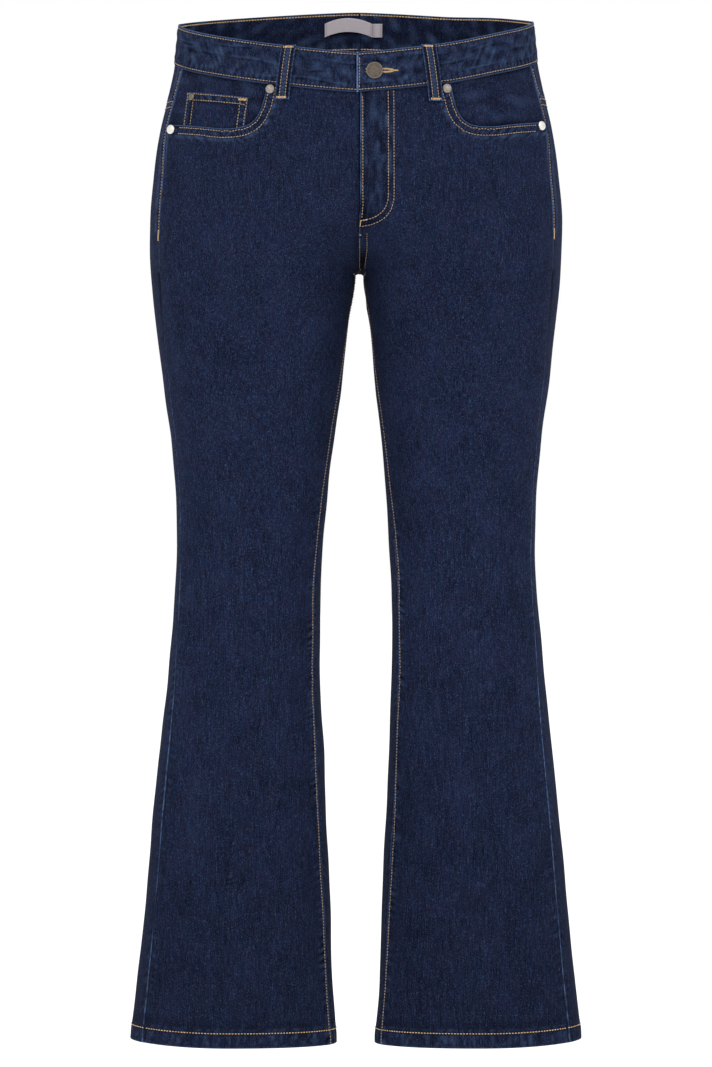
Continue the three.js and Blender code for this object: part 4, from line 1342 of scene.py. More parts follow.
def band_path(side, start_x, rise):
    """A path along one half of the waistband, at a rise over the waist seam."""
    sides, turns = band_turns(side, start_x, 30, 500)
    return skin(sides, turns, waist_seam(sides, turns) + rise)


def hem_row_height(turn):
    """Where the hem's row of stitches runs."""
    return hem_height(turn) + HEM_ROW


def under_yoke(side, row):
    """Where a row of stitches under the yoke runs, as a height at each turn."""
    def height_at(turn):
        return yoke_seam(side, turn) - row
    return height_at


def leg_threads(tan, gold):
    for word, side in SIDES:
        front, back = f"denim_front_{word}", f"denim_back_{word}"
        legs = np.linspace(HEM["low"] + 0.8, CROTCH - 2, 900)
        tan.row(seam_path(side, front_turn, False, INSEAM_ROW, legs), front, length=2.3, width=1.2)
        for turn_of, piece in ((front_turn, front), (back_turn, back)):
            hem = ring_path(side, turn_of, hem_row_height)
            gold.row(hem, piece, length=2.2, width=1.1, start=0.3, end=0.3)
        hip = np.linspace(HIP_STITCHES["low"], YOKE["side"] - 1, 200)
        tan.row(seam_path(side, back_turn, False, HIP_ROW, hip), back)
        upper = np.linspace(YOKE["side"] + 1, float(waist_seam(side, HIP_TURN)) - 1, 40)
        tan.row(seam_path(side, back_turn, False, HIP_ROW, upper), f"denim_yoke_{word}")
        tack = np.linspace(HIP_STITCHES["tack_low"], HIP_STITCHES["tack_high"], 20)
        gold.bartack(seam_path(side, back_turn, False, HIP_ROW, tack), back, across=2.4)
        for row in (EDGE_ROW, SECOND_ROW):
            tan.row(ring_path(side, back_turn, under_yoke(side, row), *YOKE_ROW_ENDS), back)
            if side > 0:
                centre = np.linspace(CROTCH + 1, YOKE["centre"] - 2, 300)
                tan.row(seam_path(side, back_turn, True, row, centre), back)
                centre = np.linspace(YOKE["centre"] + 2, RIM["back"] - BAND_HEIGHT - 1, 120)
                tan.row(seam_path(side, back_turn, True, row, centre), "denim_yoke_left")


def pocket_threads(tan, gold):
    for word, side in SIDES:
        front = f"denim_front_{word}"
        outer = MOUTH_STITCHES["outer"]
        kept = MOUTH_LINE[MOUTH_LINE[:, 0] < outer]
        for row in MOUTH_ROWS:
            line = moved_in(kept, row)
            shown = line[:, 0] < outer - side * MOUTH_SHIFT - 0.3 * row
            line = line[(line[:, 1] < MOUTH_STITCHES["top"]) & shown]
            tan.row(face_path(line * [side, 1] + [MOUTH_SHIFT, 0], True), front, start=0.2)
        pocket = f"denim_back_pocket_{word}"
        for row in (EDGE_ROW, SECOND_ROW):
            wide, tall = 1 - 2 * row / BACK_POCKET["wide"], row / BACK_POCKET["side"]
            low = (1 - wide) / 2
            corners = [(low, 1.0), (low, tall), (0.5, 1.15 * tall), (1 - low, tall), (1 - low, 1.0)]
            for (a, b), (c, d) in zip(corners, corners[1:]):
                x, z = back_pocket_place(np.linspace(a, c, 80), np.linspace(b, d, 80))
                tan.row(face_path(np.stack([side * x, z], axis=-1), False), pocket)
        for row in (EDGE_ROW, POCKET_HEM_ROW):
            x, z = back_pocket_place(np.linspace(0.01, 0.99, 80), 1 - row / BACK_POCKET["length"])
            tan.row(face_path(np.stack([side * x, z], axis=-1), False), pocket)
    coin_threads(tan, gold)


def coin_threads(tan, gold):
    top_left, top_right, low_right, low_left = coin_corners()
    down = np.array([0, -1.0])
    for row in COIN_ROWS:
        tan.row(face_path([top_left + row * down, top_right + row * down], True), "denim_coin_pocket")
        for top, low, inward in ((top_left, low_left, row), (top_right, low_right, -row)):
            shift = np.array([inward, 0])
            hidden = lerp(top, low, COIN_SEWN)
            tan.row(face_path([top + shift + down, hidden + shift], True), "denim_coin_pocket")
    corner = top_right + [-10, -1.4]
    gold.bartack(face_path([corner, corner + [9, -1.2]], True), "denim_coin_pocket", across=2.4)


def fly_threads(tan, gold):
    front = "denim_front_left"
    power, back = FLY["square"], FLY["back"]
    for reach, low in ((FLY["width"], FLY["low"]), (FLY["outer"], FLY["outer_low"])):
        angle = np.linspace(0, math.pi / 2, 60)
        x = CENTRE_DRIFT - back + (reach + back) * np.cos(angle) ** (2 / power)
        z = FLY["straight"] + (low - FLY["straight"]) * np.sin(angle) ** (2 / power)
        top = float(waist_seam(1, turn_at(1, CENTRE_DRIFT + reach, NEAR_WAIST, True))) - 1
        line = np.vstack([[CENTRE_DRIFT + reach, top], np.stack([x, z], axis=-1)])
        line = line[line[:, 0] > drift_at(line[:, 1]) + 0.5]
        tan.row(face_path(line, True), front)
    near, far = LOW_DRIFT + 1.0, LOW_DRIFT + 8.4
    foot = line[-1] + [0.3, 0]
    gold.row(face_path([foot + [0, 6], foot + [9, 7.4]], True), front, pitch=2.6, width=1.3)
    gold.bartack(face_path([foot, foot + [0.5, 6]], True), front, across=1.0)
    edge = CENTRE_DRIFT + FLY_EDGE_ROW
    tan.row(face_path([(edge, FLY_TOP), (edge, -170), (edge - 1, -183)], True), front)
    for line in ([(near, -203), (near, CROTCH + 1)], [(far, -198), (far, -214), (far - 2.6, CROTCH + 0.5)]):
        tan.row(face_path(line, True), front, length=2.0, width=0.7)
    tack = [(near - 0.8, -199.5), (near + 2.2, -199.5)]
    gold.bartack(face_path(tack, True), front, across=1.0)


def band_threads(tan, gold):
    for word, side, end, free in (("left", 1, OVERLAP_END, 1.0), ("right", -1, UNDERLAP_END, 12.2)):
        piece = f"denim_waistband_{word}"
        for rise in (LOW_ROW + HALF_GAP, BAND_HEIGHT - LOW_ROW - HALF_GAP):
            path = band_path(side, end, rise)
            tan.row(path, piece, start=free)
            gold.row(path, piece, face="inner", length=2.8, width=1.5, start=1.0)
    x = OVERLAP_END + END_ROW
    top = float(waist_seam(1, turn_at(1, 8.0, NEAR_WAIST, True)))
    line = face_path([(x, top + 4), (x, top + BAND_HEIGHT - 4)], True)
    tan.row(line, "denim_waistband_left")
    buttonhole(gold)


def buttonhole(gold):
    """Satin stitches on both sides of the slit, closing to a short bar at its outer end."""
    x, z, piece = BUTTON["x"], BUTTON["z"], "denim_waistband_left"
    for up in (-1, 1):
        line = [(x + run, z + up * away) for run, away in BUTTONHOLE]
        gold.bartack(face_path(line, True), piece, across=2.1, pitch=0.75, width=0.7)
    bar = [(x + run, z) for run in BUTTONHOLE_BAR]
    gold.bartack(face_path(bar, True), piece, across=1.8, pitch=0.8)


def loop_threads(tan, gold):
    for name, x, z, _, on_front in loop_places():
        piece = f"denim_{name}"
        share = LOOP_ROW / LOOP_WIDTH
        for across in (share, 1 - share):
            line_x = lerp(x[:, 0], x[:, -1], across)
            tan.row(face_path(np.stack([line_x, z[:, 0]], axis=-1), on_front), piece, pitch=3.1)
        for end in (0, -1):
            inset = 1 if end == 0 else -1
            left, right = np.array([x[end, 0], z[end, 0]]), np.array([x[end, -1], z[end, -1]])
            shift = np.array([0, inset * LOOP_TACK["inset"]])
            ends = [lerp(left, right, at) + shift for at in (LOOP_TACK["margin"], 1 - LOOP_TACK["margin"])]
            gold.bartack(face_path(ends, on_front), piece, across=2.2)


def make_stitches():
    tan, gold = Thread(401), Thread(402)
    for sew in (leg_threads, pocket_threads, fly_threads, band_threads, loop_threads):
        sew(tan, gold)
    tan.make("stitches_tan", "thread_tan")
    gold.make("stitches_gold", "thread_gold")


# ---- Metal ----
# Profile points: radius, height and brightness. The brightness is partly rubbed metal and partly painted
# light:
# the button's rim is lighter, and the rivets' domes are darker toward their edges.
BUTTON_PROFILE = (
    (0, 0, 0.2), (2.6, 0, 0.2), (2.6, 1.0, 0.1), (7.4, 1.0, 0.1), (8.2, 1.25, 0.2), (8.6, 1.8, 0.7),
    (8.6, 2.5, 1.0), (8.35, 2.9, 1.0), (8.0, 3.0, 0.9), (7.7, 2.9, 0.4), (7.4, 2.8, 0.25),
    (5.4, 2.95, 0.3), (3.6, 3.1, 0.35), (1.8, 3.2, 0.4), (0, 3.25, 0.4),
)
RIVET_PROFILE = (
    (0, 0, 0.1), (4.5, 0, 0.1), (4.8, 0.25, 0.2), (4.75, 0.6, 0.4), (4.45, 0.9, 0.6), (3.8, 1.2, 0.65),
    (3.0, 1.45, 0.6), (2.2, 1.65, 0.6), (1.3, 1.8, 0.65), (0, 1.85, 0.7),
)
SEGMENTS = 56
RIVET_COLUMNS = ("node", "x", "z", "radius", "finish", "lift", "lean")
RIVET_ROWS = (
    ("rivet_inner_right", -89, -49.2, 4.8, "nickel", 0.5, 0),
    ("rivet_inner_left", 94.2, -48.6, 4.8, "nickel", 0.5, 0),
    # painted light: the outer rivets are the inner rivets' nickel, in a paler lit copy for the light falling
    # on them from the side
    ("rivet_outer_right", -193.2, -86.6, 4.8, "pale_nickel", 1.9, 0.7),
    ("rivet_outer_left", 193.4, -85.6, 4.8, "pale_nickel", 1.9, 0.7),
    ("rivet_coin", -172, -53.6, 3.8, "old_brass", -0.25, 0),
)


def turned_metal(name, node, profile, x, z, lift, scale, finish, lean):
    """A round piece of metal on the front, from a profile of radius, height and brightness: rubbing and
    painted shade.

    The lean is added to the way out of the cloth, so that the piece faces the front more.
    """
    profile = np.array(profile, float)
    profile[:, 0] *= scale
    centre, normal = (part[0] for part in face_skin(np.array([x]), np.array([z]), True))
    normal = normal + [0, -lean, 0]
    normal /= np.linalg.norm(normal)
    across = np.cross(normal, [0, 0, 1.0])
    across /= np.linalg.norm(across)
    upward = np.cross(across, normal)
    angle = 2 * math.pi * np.arange(SEGMENTS) / SEGMENTS
    ring = across * np.cos(angle)[:, None] + upward * np.sin(angle)[:, None]
    base = centre + lift * normal
    body = profile[1:-1]
    points = base + body[:, 0, None, None] * ring + body[:, 1, None, None] * normal
    index = np.arange(len(body) * SEGMENTS).reshape(len(body), SEGMENTS)
    turned = np.roll(index, -1, axis=1)
    quads = np.stack([index[:-1], turned[:-1], turned[1:], index[1:]], axis=-1).reshape(-1, 4)
    tips = [base + profile[0, 1] * normal, base + profile[-1, 1] * normal]
    foot, tip = len(body) * SEGMENTS, len(body) * SEGMENTS + 1
    lower = np.stack([turned[0], index[0], np.full(SEGMENTS, foot)], axis=-1)
    upper = np.stack([index[-1], turned[-1], np.full(SEGMENTS, tip)], axis=-1)
    every = np.vstack([points.reshape(-1, 3), tips])
    # brightness of each point, rubbed metal and painted shade, kept in the wear attribute
    polish_and_shade = np.concatenate([np.repeat(body[:, 2], SEGMENTS), [profile[0, 2], profile[-1, 2]]])
    if signed_volume(every, quads) < 0:
        quads, lower, upper = quads[:, ::-1], lower[:, ::-1], upper[:, ::-1]
    triangles = np.concatenate([lower, upper])
    piece = mesh_object(name, every, [quads, triangles], [FINISHES[finish]], values={"wear": polish_and_shade})
    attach(piece, "root")
    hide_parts(node)


def make_metal():
    lift = BAND_PROUD + SEAM_GAP
    place = BUTTON["x"], BUTTON["z"], lift
    turned_metal("jeans_button", "button", BUTTON_PROFILE, *place, 1.0, "gunmetal", BUTTON["lean"])
    for row in RIVET_ROWS:
        one = dict(zip(RIVET_COLUMNS, row))
        name = one["node"].replace("rivet_", "metal_rivet_")
        scale = one["radius"] / RIVET_ROWS[0][3]
        place = one["x"], one["z"], one["lift"]
        turned_metal(name, one["node"], RIVET_PROFILE, *place, scale, one["finish"], one["lean"])


# ---- Finishes ----
def socket_value(tree, socket, value):
    if isinstance(value, bpy.types.NodeSocket):
        tree.links.new(value, socket)
    else:
        socket.default_value = value


def node(tree, kind, inputs=None, **settings):
    made = tree.nodes.new(kind)
    for key, value in settings.items():
        setattr(made, key, value)
    for key, value in (inputs or {}).items():
        socket_value(tree, made.inputs[key], value)
    return made


def maths(tree, operation, first, second=0.0, third=0.0, clamp=False):
    made = node(tree, "ShaderNodeMath", {0: first, 1: second, 2: third}, operation=operation, use_clamp=clamp)
    return made.outputs[0]


def noise(tree, place, scales, detail=2.0, roughness=0.55):
    """Noise in grains whose size along each axis is given in mm."""
    sizes = [size * MM for size in scales]
    spread = node(tree, "ShaderNodeMapping", {"Vector": place, "Scale": sizes}, vector_type="TEXTURE")
    made = node(
        tree, "ShaderNodeTexNoise",
        {"Vector": spread.outputs[0], "Scale": 1.0, "Detail": detail, "Roughness": roughness},
    )
    return made.outputs["Fac"]


MIX_SHARE, MIX_FIRST, MIX_SECOND, MIX_RESULT = 0, 6, 7, 2  # the Mix node's sockets for colours


def mixed(tree, share, first, second):
    made = node(tree, "ShaderNodeMix", data_type="RGBA", clamp_factor=True)
    socket_value(tree, made.inputs[MIX_SHARE], share)
    socket_value(tree, made.inputs[MIX_FIRST], first)
    socket_value(tree, made.inputs[MIX_SECOND], second)
    return made.outputs[MIX_RESULT]


def brightened(tree, colour, factor):
    made = node(tree, "ShaderNodeVectorMath", {0: colour}, operation="SCALE")
    socket_value(tree, made.inputs["Scale"], factor)
    return made.outputs[0]


def new_group(name, inputs, outputs):
    tree = bpy.data.node_groups.new(name, "ShaderNodeTree")
    for label, kind, default in inputs:
        socket = tree.interface.new_socket(label, in_out="INPUT", socket_type=kind)
        if default is not None:
            socket.default_value = default
    for label, kind in outputs:
        tree.interface.new_socket(label, in_out="OUTPUT", socket_type=kind)
    return tree, tree.nodes.new("NodeGroupInput").outputs, tree.nodes.new("NodeGroupOutput").inputs


COLOUR, FLOAT, VECTOR = "NodeSocketColor", "NodeSocketFloat", "NodeSocketVector"
# Sizes of grains in mm, across, through and up the garment.
LONG_YARN = (0.8, 0.8, 13)
WIDE_YARN = (2.2, 2.2, 50)
FLECK = (0.8, 0.8, 1.3)
CURL = (2.6, 2.6, 3.4)
DYE_PATCH = (30, 30, 44)
RUBBED_PATCH = (5, 5, 8)
CAST = (9, 9, 13)
BROKEN_WEAR = (1.1, 1.1, 1.4)
SCRATCH = (0.5, 0.5, 0.5)
FILM = (2.4, 2.4, 2.4)
TWIST = (0.35, 0.35, 0.35)
PAPER_TOOTH = (40, 40, 40)
WARM_CAST, COOL_CAST = (1.10, 0.97, 0.96), (0.86, 1.03, 1.05)


def weave_group():
    """Yarns of a twill: pale flecks, streaks down the warp, soft patches, and the height of the wales."""
    tree, given, result = new_group(
        "twill_weave",
        [
            ("Place", VECTOR, None), ("Cloth", VECTOR, None), ("Streaks", FLOAT, 0.5),
            ("Flecks", FLOAT, 0.5), ("Patches", FLOAT, 0.2), ("Wale", FLOAT, 0.9),
        ],
        [("Tone", FLOAT), ("Fleck", FLOAT), ("Cast", FLOAT), ("Height", FLOAT)],
    )
    place = given["Place"]
    long_yarn = noise(tree, place, LONG_YARN)
    wide_yarn = noise(tree, place, WIDE_YARN)
    fleck = noise(tree, place, FLECK, roughness=0.7)
    bend = noise(tree, place, CURL, roughness=0.5)
    off_line = maths(tree, "ABSOLUTE", maths(tree, "SUBTRACT", bend, 0.5))
    curl = maths(tree, "MULTIPLY_ADD", off_line, -28.0, 1.0, clamp=True)
    patch = noise(tree, place, DYE_PATCH, 3.0, 0.6)
    worn_patch = noise(tree, place, RUBBED_PATCH, roughness=0.6)
    cast = noise(tree, place, CAST)
    total = 1.0
    for part, strength, share in (
        (long_yarn, given["Streaks"], 1.8), (wide_yarn, given["Streaks"], 0.8),
        (fleck, given["Flecks"], 2.4), (patch, given["Patches"], 1.9), (worn_patch, given["Patches"], 0.3),
    ):
        centred = maths(tree, "MULTIPLY", maths(tree, "SUBTRACT", part, 0.5), share)
        total = maths(tree, "MULTIPLY_ADD", centred, strength, total)
    split = node(tree, "ShaderNodeSeparateXYZ", {0: given["Cloth"]}).outputs
    line = maths(tree, "MULTIPLY_ADD", split[1], 0.7, split[0])
    turns = maths(tree, "DIVIDE", line, maths(tree, "MULTIPLY", given["Wale"], MM))
    wale = maths(tree, "SINE", maths(tree, "MULTIPLY", turns, 2 * math.pi))
    height = maths(tree, "MULTIPLY_ADD", wale, 0.35, maths(tree, "ADD", long_yarn, fleck))
    yarn = maths(tree, "MULTIPLY_ADD", long_yarn, 0.35, maths(tree, "MULTIPLY_ADD", curl, 0.16, fleck))
    tree.links.new(maths(tree, "MAXIMUM", total, 0.25), result["Tone"])
    tree.links.new(maths(tree, "MULTIPLY_ADD", yarn, 5.0, -3.9, clamp=True), result["Fleck"])
    tree.links.new(maths(tree, "MULTIPLY_ADD", cast, 3.0, -1.0, clamp=True), result["Cast"])
    tree.links.new(height, result["Height"])


def wear_and_shade_group():
    """Dye rubbed off raised edges; painted shade, with some dye kept, in folds, hollows and under edges."""
    tree, given, result = new_group(
        "cloth_wear_and_shade",
        [
            ("Place", VECTOR, None), ("Color", COLOUR, (0, 0, 0, 1)), ("Worn", COLOUR, (1, 1, 1, 1)),
            ("Wear", FLOAT, 0.0), ("Shade", FLOAT, 0.0), ("Depth", FLOAT, 0.6),
        ],
        [("Color", COLOUR), ("Roughness", FLOAT)],
    )
    broken = noise(tree, given["Place"], BROKEN_WEAR, roughness=0.65)
    sharp = maths(tree, "MULTIPLY_ADD", broken, 1.6, -0.15)
    rubbed = maths(tree, "MULTIPLY", given["Wear"], sharp, clamp=True)
    pale = mixed(tree, rubbed, given["Color"], given["Worn"])
    # painted shade: the colour is darkened by the shade attribute times the depth
    shaded = maths(tree, "MULTIPLY", given["Shade"], given["Depth"])
    dark = maths(tree, "MULTIPLY_ADD", shaded, -1.0, 1.0, clamp=True)
    tree.links.new(brightened(tree, pale, dark), result["Color"])
    tree.links.new(maths(tree, "MULTIPLY_ADD", given["Wear"], -0.06, 0.9), result["Roughness"])


def brushed_group():
    """Fine scratches and a dull film in the hollows of worn metal; its brightness input also carries painted
    shade.
    """
    tree, given, result = new_group(
        "handled_metal",
        [
            ("Place", VECTOR, None), ("Dull", COLOUR, (0, 0, 0, 1)), ("Bright", COLOUR, (1, 1, 1, 1)),
            ("Polish_and_Shade", FLOAT, 0.5), ("Grain", FLOAT, 0.2),
        ],
        [("Color", COLOUR), ("Roughness", FLOAT), ("Height", FLOAT)],
    )
    grain = noise(tree, given["Place"], SCRATCH, 3.0, 0.7)
    film = noise(tree, given["Place"], FILM)
    blotch = maths(tree, "MULTIPLY_ADD", maths(tree, "SUBTRACT", film, 0.5), 0.9, given["Polish_and_Shade"])
    grit = maths(tree, "MULTIPLY", maths(tree, "SUBTRACT", grain, 0.5), given["Grain"])
    share = maths(tree, "ADD", blotch, grit, clamp=True)
    tree.links.new(mixed(tree, share, given["Dull"], given["Bright"]), result["Color"])
    tree.links.new(maths(tree, "MULTIPLY_ADD", share, -0.22, 0.56), result["Roughness"])
    tree.links.new(grain, result["Height"])


def new_finish(name, **constants):
    """A material with a Principled shader, its constants set on the shader's own sockets."""
    material = FINISHES[name] = bpy.data.materials.new(f"finish_{name}")
    material.use_nodes = True
    shader = material.node_tree.nodes["Principled BSDF"]
    for label, value in constants.items():
        shader.inputs[label.replace("_", " ")].default_value = value
    return material.node_tree, shader


def placed(tree, group, inputs):
    made = node(tree, "ShaderNodeGroup", node_tree=group)
    for label, value in inputs.items():
        socket_value(tree, made.inputs[label], value)
    return made.outputs


def attribute(tree, name):
    return node(tree, "ShaderNodeAttribute", attribute_type="GEOMETRY", attribute_name=name).outputs["Fac"]


def place_of(tree):
    return node(tree, "ShaderNodeTexCoord").outputs["Object"]


def raised(tree, shader, height, strength, distance):
    bump = node(tree, "ShaderNodeBump", {"Height": height, "Strength": strength, "Distance": distance * MM})
    tree.links.new(bump.outputs[0], shader.inputs["Normal"])


def opaque(colour):
    return (*colour, 1.0)


def linked(tree, shader, surface):
    tree.links.new(surface["Color"], shader.inputs["Base Color"])
    tree.links.new(surface["Roughness"], shader.inputs["Roughness"])


def weave_of(tree, **values):
    """Where the cloth is, and what its weave gives."""
    place = place_of(tree)
    cloth = node(tree, "ShaderNodeUVMap", uv_map="cloth").outputs[0]
    inputs = {"Place": place, "Cloth": cloth, **values}
    return place, placed(tree, bpy.data.node_groups["twill_weave"], inputs)


# Rubbed wear and painted shade, from the piece's wear and shade attributes.
def rubbed_and_shaded_cloth(tree, shader, place, colour, worn, **values):
    inputs = {
        "Place": place, "Color": colour, "Worn": opaque(worn),
        "Wear": attribute(tree, "wear"), "Shade": attribute(tree, "shade"), **values,
    }
    linked(tree, shader, placed(tree, bpy.data.node_groups["cloth_wear_and_shade"], inputs))


def denim_finish(name, colour, worn, streaks, flecks, patches, pale_yarn):
    """Dyed twill, paler and warmer in places, rubbed, and darkened by painted shade as its piece says."""
    tree, shader = new_finish(
        name, Specular_IOR_Level=0.04, Sheen_Weight=0.012, Sheen_Roughness=0.35,
        Sheen_Tint=(0.55, 0.66, 1.0, 1.0),
    )
    place, weave = weave_of(tree, Streaks=streaks, Flecks=flecks, Patches=patches)
    warm, cool = (opaque(np.array(colour) * cast) for cast in (WARM_CAST, COOL_CAST))
    dyed = brightened(tree, mixed(tree, weave["Cast"], warm, cool), weave["Tone"])
    flecked = mixed(tree, maths(tree, "MULTIPLY", weave["Fleck"], pale_yarn), dyed, opaque(worn))
    rubbed_and_shaded_cloth(tree, shader, place, flecked, worn)
    raised(tree, shader, weave["Height"], 0.55, 0.25)


def thread_finish(name, colour, pale):
    tree, shader = new_finish(name, Roughness=0.62, Specular_IOR_Level=0.3, Sheen_Weight=0.2)
    twist = noise(tree, place_of(tree), TWIST)
    share = maths(tree, "MULTIPLY_ADD", attribute(tree, "tint"), 0.55, maths(tree, "MULTIPLY", twist, 0.45))
    tree.links.new(mixed(tree, share, opaque(colour), opaque(pale)), shader.inputs["Base Color"])
    raised(tree, shader, twist, 0.5, 0.15)


def metal_finish(name, dull, bright, grain):
    tree, shader = new_finish(name, Metallic=0.85)
    worn = placed(tree, bpy.data.node_groups["handled_metal"], {
        "Place": place_of(tree), "Dull": opaque(dull), "Bright": opaque(bright),
        "Polish_and_Shade": attribute(tree, "wear"), "Grain": grain,
    })
    linked(tree, shader, worn)
    raised(tree, shader, worn["Height"], 0.3, 0.08)


def ribbon_finish(name, colour, worn):
    tree, shader = new_finish(name, Specular_IOR_Level=0.4, Sheen_Weight=0.15)
    place, weave = weave_of(tree, Streaks=0.05, Flecks=0.12, Patches=0.05, Wale=0.6)
    rubbed_and_shaded_cloth(tree, shader, place, brightened(tree, tuple(colour), weave["Tone"]), worn, Depth=0.5)
    raised(tree, shader, weave["Height"], 0.4, 0.15)


# Each metal's colour in its hollows and on its rubbed edges, and how strong its grain is.
METAL_ROWS = (
    ("gunmetal", (0.075, 0.060, 0.048), (0.21, 0.18, 0.15), 0.5),
    ("nickel", (0.13, 0.115, 0.10), (0.40, 0.36, 0.32), 0.4),
    # a lit copy of the nickel, for the outer rivets: painted light
    ("pale_nickel", (0.55, 0.52, 0.48), (0.88, 0.85, 0.79), 0.2),
    ("old_brass", (0.06, 0.047, 0.03), (0.24, 0.19, 0.13), 0.5),
)
RIBBON_WORN = (0.75, 0.72, 0.75)
ZIP_TAPE, ZIP_TEETH = (0.012, 0.015, 0.03), (0.45, 0.4, 0.3)


def make_finishes(colours):
    weave_group()
    wear_and_shade_group()
    brushed_group()
    denim_finish("denim", colours.denim, colours.worn, 0.95, 1.3, 0.5, 0.3)
    denim_finish("denim_inside", colours.wrong_side, colours.worn, 0.3, 0.9, 0.15, 0.1)
    thread_finish("thread_tan", colours.tan_thread, colours.tan_pale)
    thread_finish("thread_gold", colours.gold_thread, colours.gold_pale)
    for row in METAL_ROWS:
        metal_finish(*row)
    ribbon_finish("ribbon", colours.ribbon, RIBBON_WORN)
    ribbon_finish("zip_tape", ZIP_TAPE, ZIP_TEETH)


# ---- Stage ----
FLOOR = {"radius": 40.0, "corners": 96}
CLIP_END = 200
# Each light's place and size in metres, and its power as a share of the key.
LIGHT_ROWS = (
    ("light_left", (-1.7, -2.6, 1.6), 1.4, 1.0),
    ("light_right", (1.8, -2.5, 1.5), 1.4, 0.9),
    ("light_back", (0.4, 3.0, 1.8), 1.8, 0.8),
)


def soft_light(name, place, target, size, power):
    data = bpy.data.lights.new(name, "AREA")
    data.shape, data.size, data.energy = "SQUARE", size, power
    lamp = bpy.data.objects.new(name, data)
    lamp.location = place
    lamp.rotation_mode = "QUATERNION"
    lamp.rotation_quaternion = (Vector(target) - Vector(place)).to_track_quat("-Z", "Y")
    bpy.context.scene.collection.objects.link(lamp)


def make_stage(stage):
    scene = bpy.context.scene
    camera = bpy.data.objects.new("camera", bpy.data.cameras.new("camera"))
    camera.location = (0, -stage.distance, stage.level)
    camera.rotation_euler = (math.radians(90), 0, 0)
    camera.data.lens = camera.data.sensor_width * stage.distance / stage.view_height
    camera.data.clip_end = CLIP_END
    scene.collection.objects.link(camera)
    scene.camera = camera
    scene.view_settings.view_transform = "Standard"
    make_floor(CAD_BOX[0].z - stage.floor_gap, stage.floor_white)
    world = bpy.data.worlds.new("studio")
    world.use_nodes = True
    background = world.node_tree.nodes["Background"]
    background.inputs["Color"].default_value = (1, 1, 1, 1)
    background.inputs["Strength"].default_value = stage.air
    scene.world = world
    for name, place, size, share in LIGHT_ROWS:
        soft_light(name, place, (0, 0, stage.level), size, share * stage.key)


def make_floor(level, white):
    """A disc of white paper with a faint tooth, lit a little from within so that it never greys."""
    tree, shader = new_finish(
        "studio_paper", Roughness=0.9, Specular_IOR_Level=0.1,
        Emission_Color=(1, 1, 1, 1), Emission_Strength=0.3,
    )
    grain = noise(tree, place_of(tree), PAPER_TOOTH)
    tone = maths(tree, "MULTIPLY_ADD", grain, 0.02, white)
    grey = node(tree, "ShaderNodeCombineColor", {0: tone, 1: tone, 2: tone})
    tree.links.new(grey.outputs[0], shader.inputs["Base Color"])
    count = FLOOR["corners"]
    angles = np.linspace(0, 2 * math.pi, count + 1)[:-1]
    ring = FLOOR["radius"] * np.stack([np.cos(angles), np.sin(angles)])
    points = np.vstack([ring, np.full(count, level)]).T / MM
    mesh_object("studio_floor", points, [np.arange(count)[None]], [FINISHES["studio_paper"]])


# ---- Settings ----
def colour_property(name, description, default):
    return FloatVectorProperty(
        name=name, description=description, default=default, size=3, min=0, max=1, subtype="COLOR"
    )


def length_property(name, description, default):
    return FloatProperty(name=name, description=description, default=default, unit="LENGTH")


class JeansColours(bpy.types.PropertyGroup):
    denim: colour_property("Denim", "Dye of the cloth's face", (0.0093, 0.0130, 0.0345))
    worn: colour_property("Worn Denim", "Cloth where its dye has rubbed off", (0.105, 0.178, 0.355))
    wrong_side: colour_property("Wrong Side", "Cloth's paler inner side", (0.06, 0.075, 0.115))
    tan_thread: colour_property("Tan Thread", "Thread of the fine rows", (0.20, 0.11, 0.055))
    tan_pale: colour_property("Pale Tan Thread", "Lighter stitches of the fine rows", (0.41, 0.33, 0.25))
    gold_thread: colour_property("Gold Thread", "Thread of the bold rows and bars", (0.46, 0.24, 0.075))
    gold_pale: colour_property("Pale Gold Thread", "Lighter stitches of the bold rows", (0.68, 0.50, 0.29))
    ribbon: colour_property("Ribbon", "Bare strips sewn inside the waistband", (0.50, 0.45, 0.49))


class JeansStage(bpy.types.PropertyGroup):
    distance: length_property("Distance", "Camera to garment", 4.5)
    level: length_property("Level", "Height of the camera", -0.510)
    view_height: length_property("View", "Height taken in at the garment", 1.131)
    floor_gap: length_property("Floor Gap", "Floor below the hems", 0.30)
    floor_white: FloatProperty(name="Floor", description="How white the floor is", default=0.85, min=0, max=1)
    air: FloatProperty(name="Air", description="Light from all around", default=1.0, min=0)
    key: FloatProperty(name="Key", description="Power of the soft lights", default=14.0, min=0, unit="POWER")


# ---- Operators ----
OPTIONS = {"REGISTER", "UNDO"}


class JEANS_OT_finishes(bpy.types.Operator):
    """Make the denim, thread, metal and ribbon"""
    bl_idname = "jeans.finishes"
    bl_label = "Finishes"
    bl_options = OPTIONS

    def execute(self, context):
        make_finishes(context.scene.jeans_colours)
        return {"FINISHED"}


class JEANS_OT_stage(bpy.types.Operator):
    """Set up the camera, floor and soft light"""
    bl_idname = "jeans.stage"
    bl_label = "Stage"
    bl_options = OPTIONS

    def execute(self, context):
        make_stage(context.scene.jeans_stage)
        return {"FINISHED"}


class JEANS_OT_legs(bpy.types.Operator):
    """Cut and crease the two fronts and the two backs"""
    bl_idname = "jeans.legs"
    bl_label = "Fronts and Backs"
    bl_options = OPTIONS

    def execute(self, context):
        make_legs()
        return {"FINISHED"}


class JEANS_OT_yokes(bpy.types.Operator):
    """Cut the two back yokes"""
    bl_idname = "jeans.yokes"
    bl_label = "Yokes"
    bl_options = OPTIONS

    def execute(self, context):
        make_yokes()
        return {"FINISHED"}


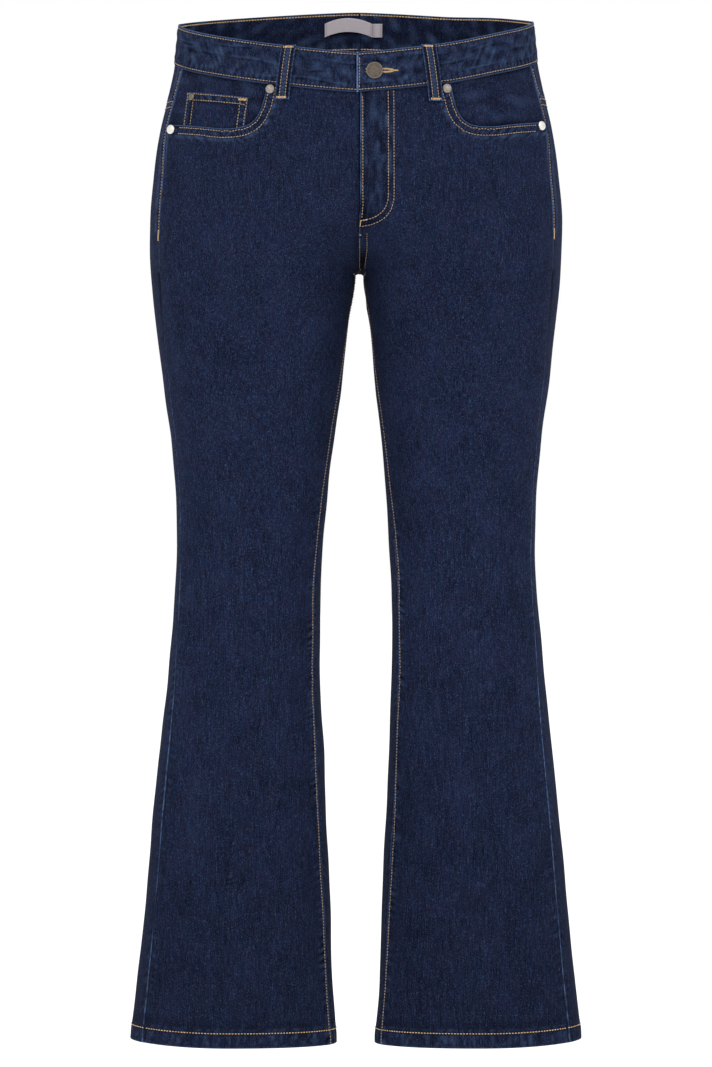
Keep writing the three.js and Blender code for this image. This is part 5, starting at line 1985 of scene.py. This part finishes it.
class JEANS_OT_front_pockets(bpy.types.Operator):
    """Cut the layers behind the pocket mouths, and the coin pocket"""
    bl_idname = "jeans.front_pockets"
    bl_label = "Front Pockets"
    bl_options = OPTIONS

    def execute(self, context):
        make_facings()
        return {"FINISHED"}


class JEANS_OT_back_pockets(bpy.types.Operator):
    """Cut the two plain back pockets"""
    bl_idname = "jeans.back_pockets"
    bl_label = "Back Pockets"
    bl_options = OPTIONS

    def execute(self, context):
        make_back_pockets()
        return {"FINISHED"}


class JEANS_OT_waistband(bpy.types.Operator):
    """Cut the two halves of the waistband, lapped at the front"""
    bl_idname = "jeans.waistband"
    bl_label = "Waistband"
    bl_options = OPTIONS

    def execute(self, context):
        make_waistband()
        return {"FINISHED"}


class JEANS_OT_fly(bpy.types.Operator):
    """Cut the shield and the zip behind the fly"""
    bl_idname = "jeans.fly"
    bl_label = "Fly"
    bl_options = OPTIONS

    def execute(self, context):
        make_fly()
        return {"FINISHED"}


class JEANS_OT_belt_loops(bpy.types.Operator):
    """Fold the five belt loops"""
    bl_idname = "jeans.belt_loops"
    bl_label = "Belt Loops"
    bl_options = OPTIONS

    def execute(self, context):
        make_belt_loops()
        return {"FINISHED"}


class JEANS_OT_labels(bpy.types.Operator):
    """Weave the bare strips inside the waistband"""
    bl_idname = "jeans.labels"
    bl_label = "Bare Labels"
    bl_options = OPTIONS

    def execute(self, context):
        make_labels()
        return {"FINISHED"}


class JEANS_OT_stitches(bpy.types.Operator):
    """Sew every row, bar and the buttonhole"""
    bl_idname = "jeans.stitches"
    bl_label = "Stitches"
    bl_options = OPTIONS

    def execute(self, context):
        make_stitches()
        return {"FINISHED"}


class JEANS_OT_metal(bpy.types.Operator):
    """Turn the button and the rivets"""
    bl_idname = "jeans.metal"
    bl_label = "Button and Rivets"
    bl_options = OPTIONS

    def execute(self, context):
        make_metal()
        return {"FINISHED"}


OPERATORS = (
    JEANS_OT_finishes, JEANS_OT_stage, JEANS_OT_legs, JEANS_OT_yokes, JEANS_OT_front_pockets,
    JEANS_OT_back_pockets, JEANS_OT_waistband, JEANS_OT_fly, JEANS_OT_belt_loops, JEANS_OT_labels,
    JEANS_OT_stitches, JEANS_OT_metal,
)


class JEANS_PT_sidebar(bpy.types.Panel):
    """Settings and steps of the jeans"""
    bl_idname = "JEANS_PT_sidebar"
    bl_label = "Bootcut Jeans"
    bl_space_type = "VIEW_3D"
    bl_region_type = "UI"
    bl_category = "Jeans"

    def draw(self, context):
        for settings in (context.scene.jeans_colours, context.scene.jeans_stage):
            column = self.layout.column()
            for name in settings.__annotations__:
                column.prop(settings, name)
        for operator in OPERATORS:
            self.layout.operator(operator.bl_idname)


CLASSES = (JeansColours, JeansStage, *OPERATORS, JEANS_PT_sidebar)


def register():
    for one in CLASSES:
        bpy.utils.register_class(one)
    bpy.types.Scene.jeans_colours = PointerProperty(type=JeansColours)
    bpy.types.Scene.jeans_stage = PointerProperty(type=JeansStage)


def unregister():
    del bpy.types.Scene.jeans_colours
    del bpy.types.Scene.jeans_stage
    for one in reversed(CLASSES):
        bpy.utils.unregister_class(one)


def main():
    register()
    for operator in OPERATORS:
        getattr(bpy.ops.jeans, operator.bl_idname.split(".")[1])()


if __name__ == "__main__":
    main()
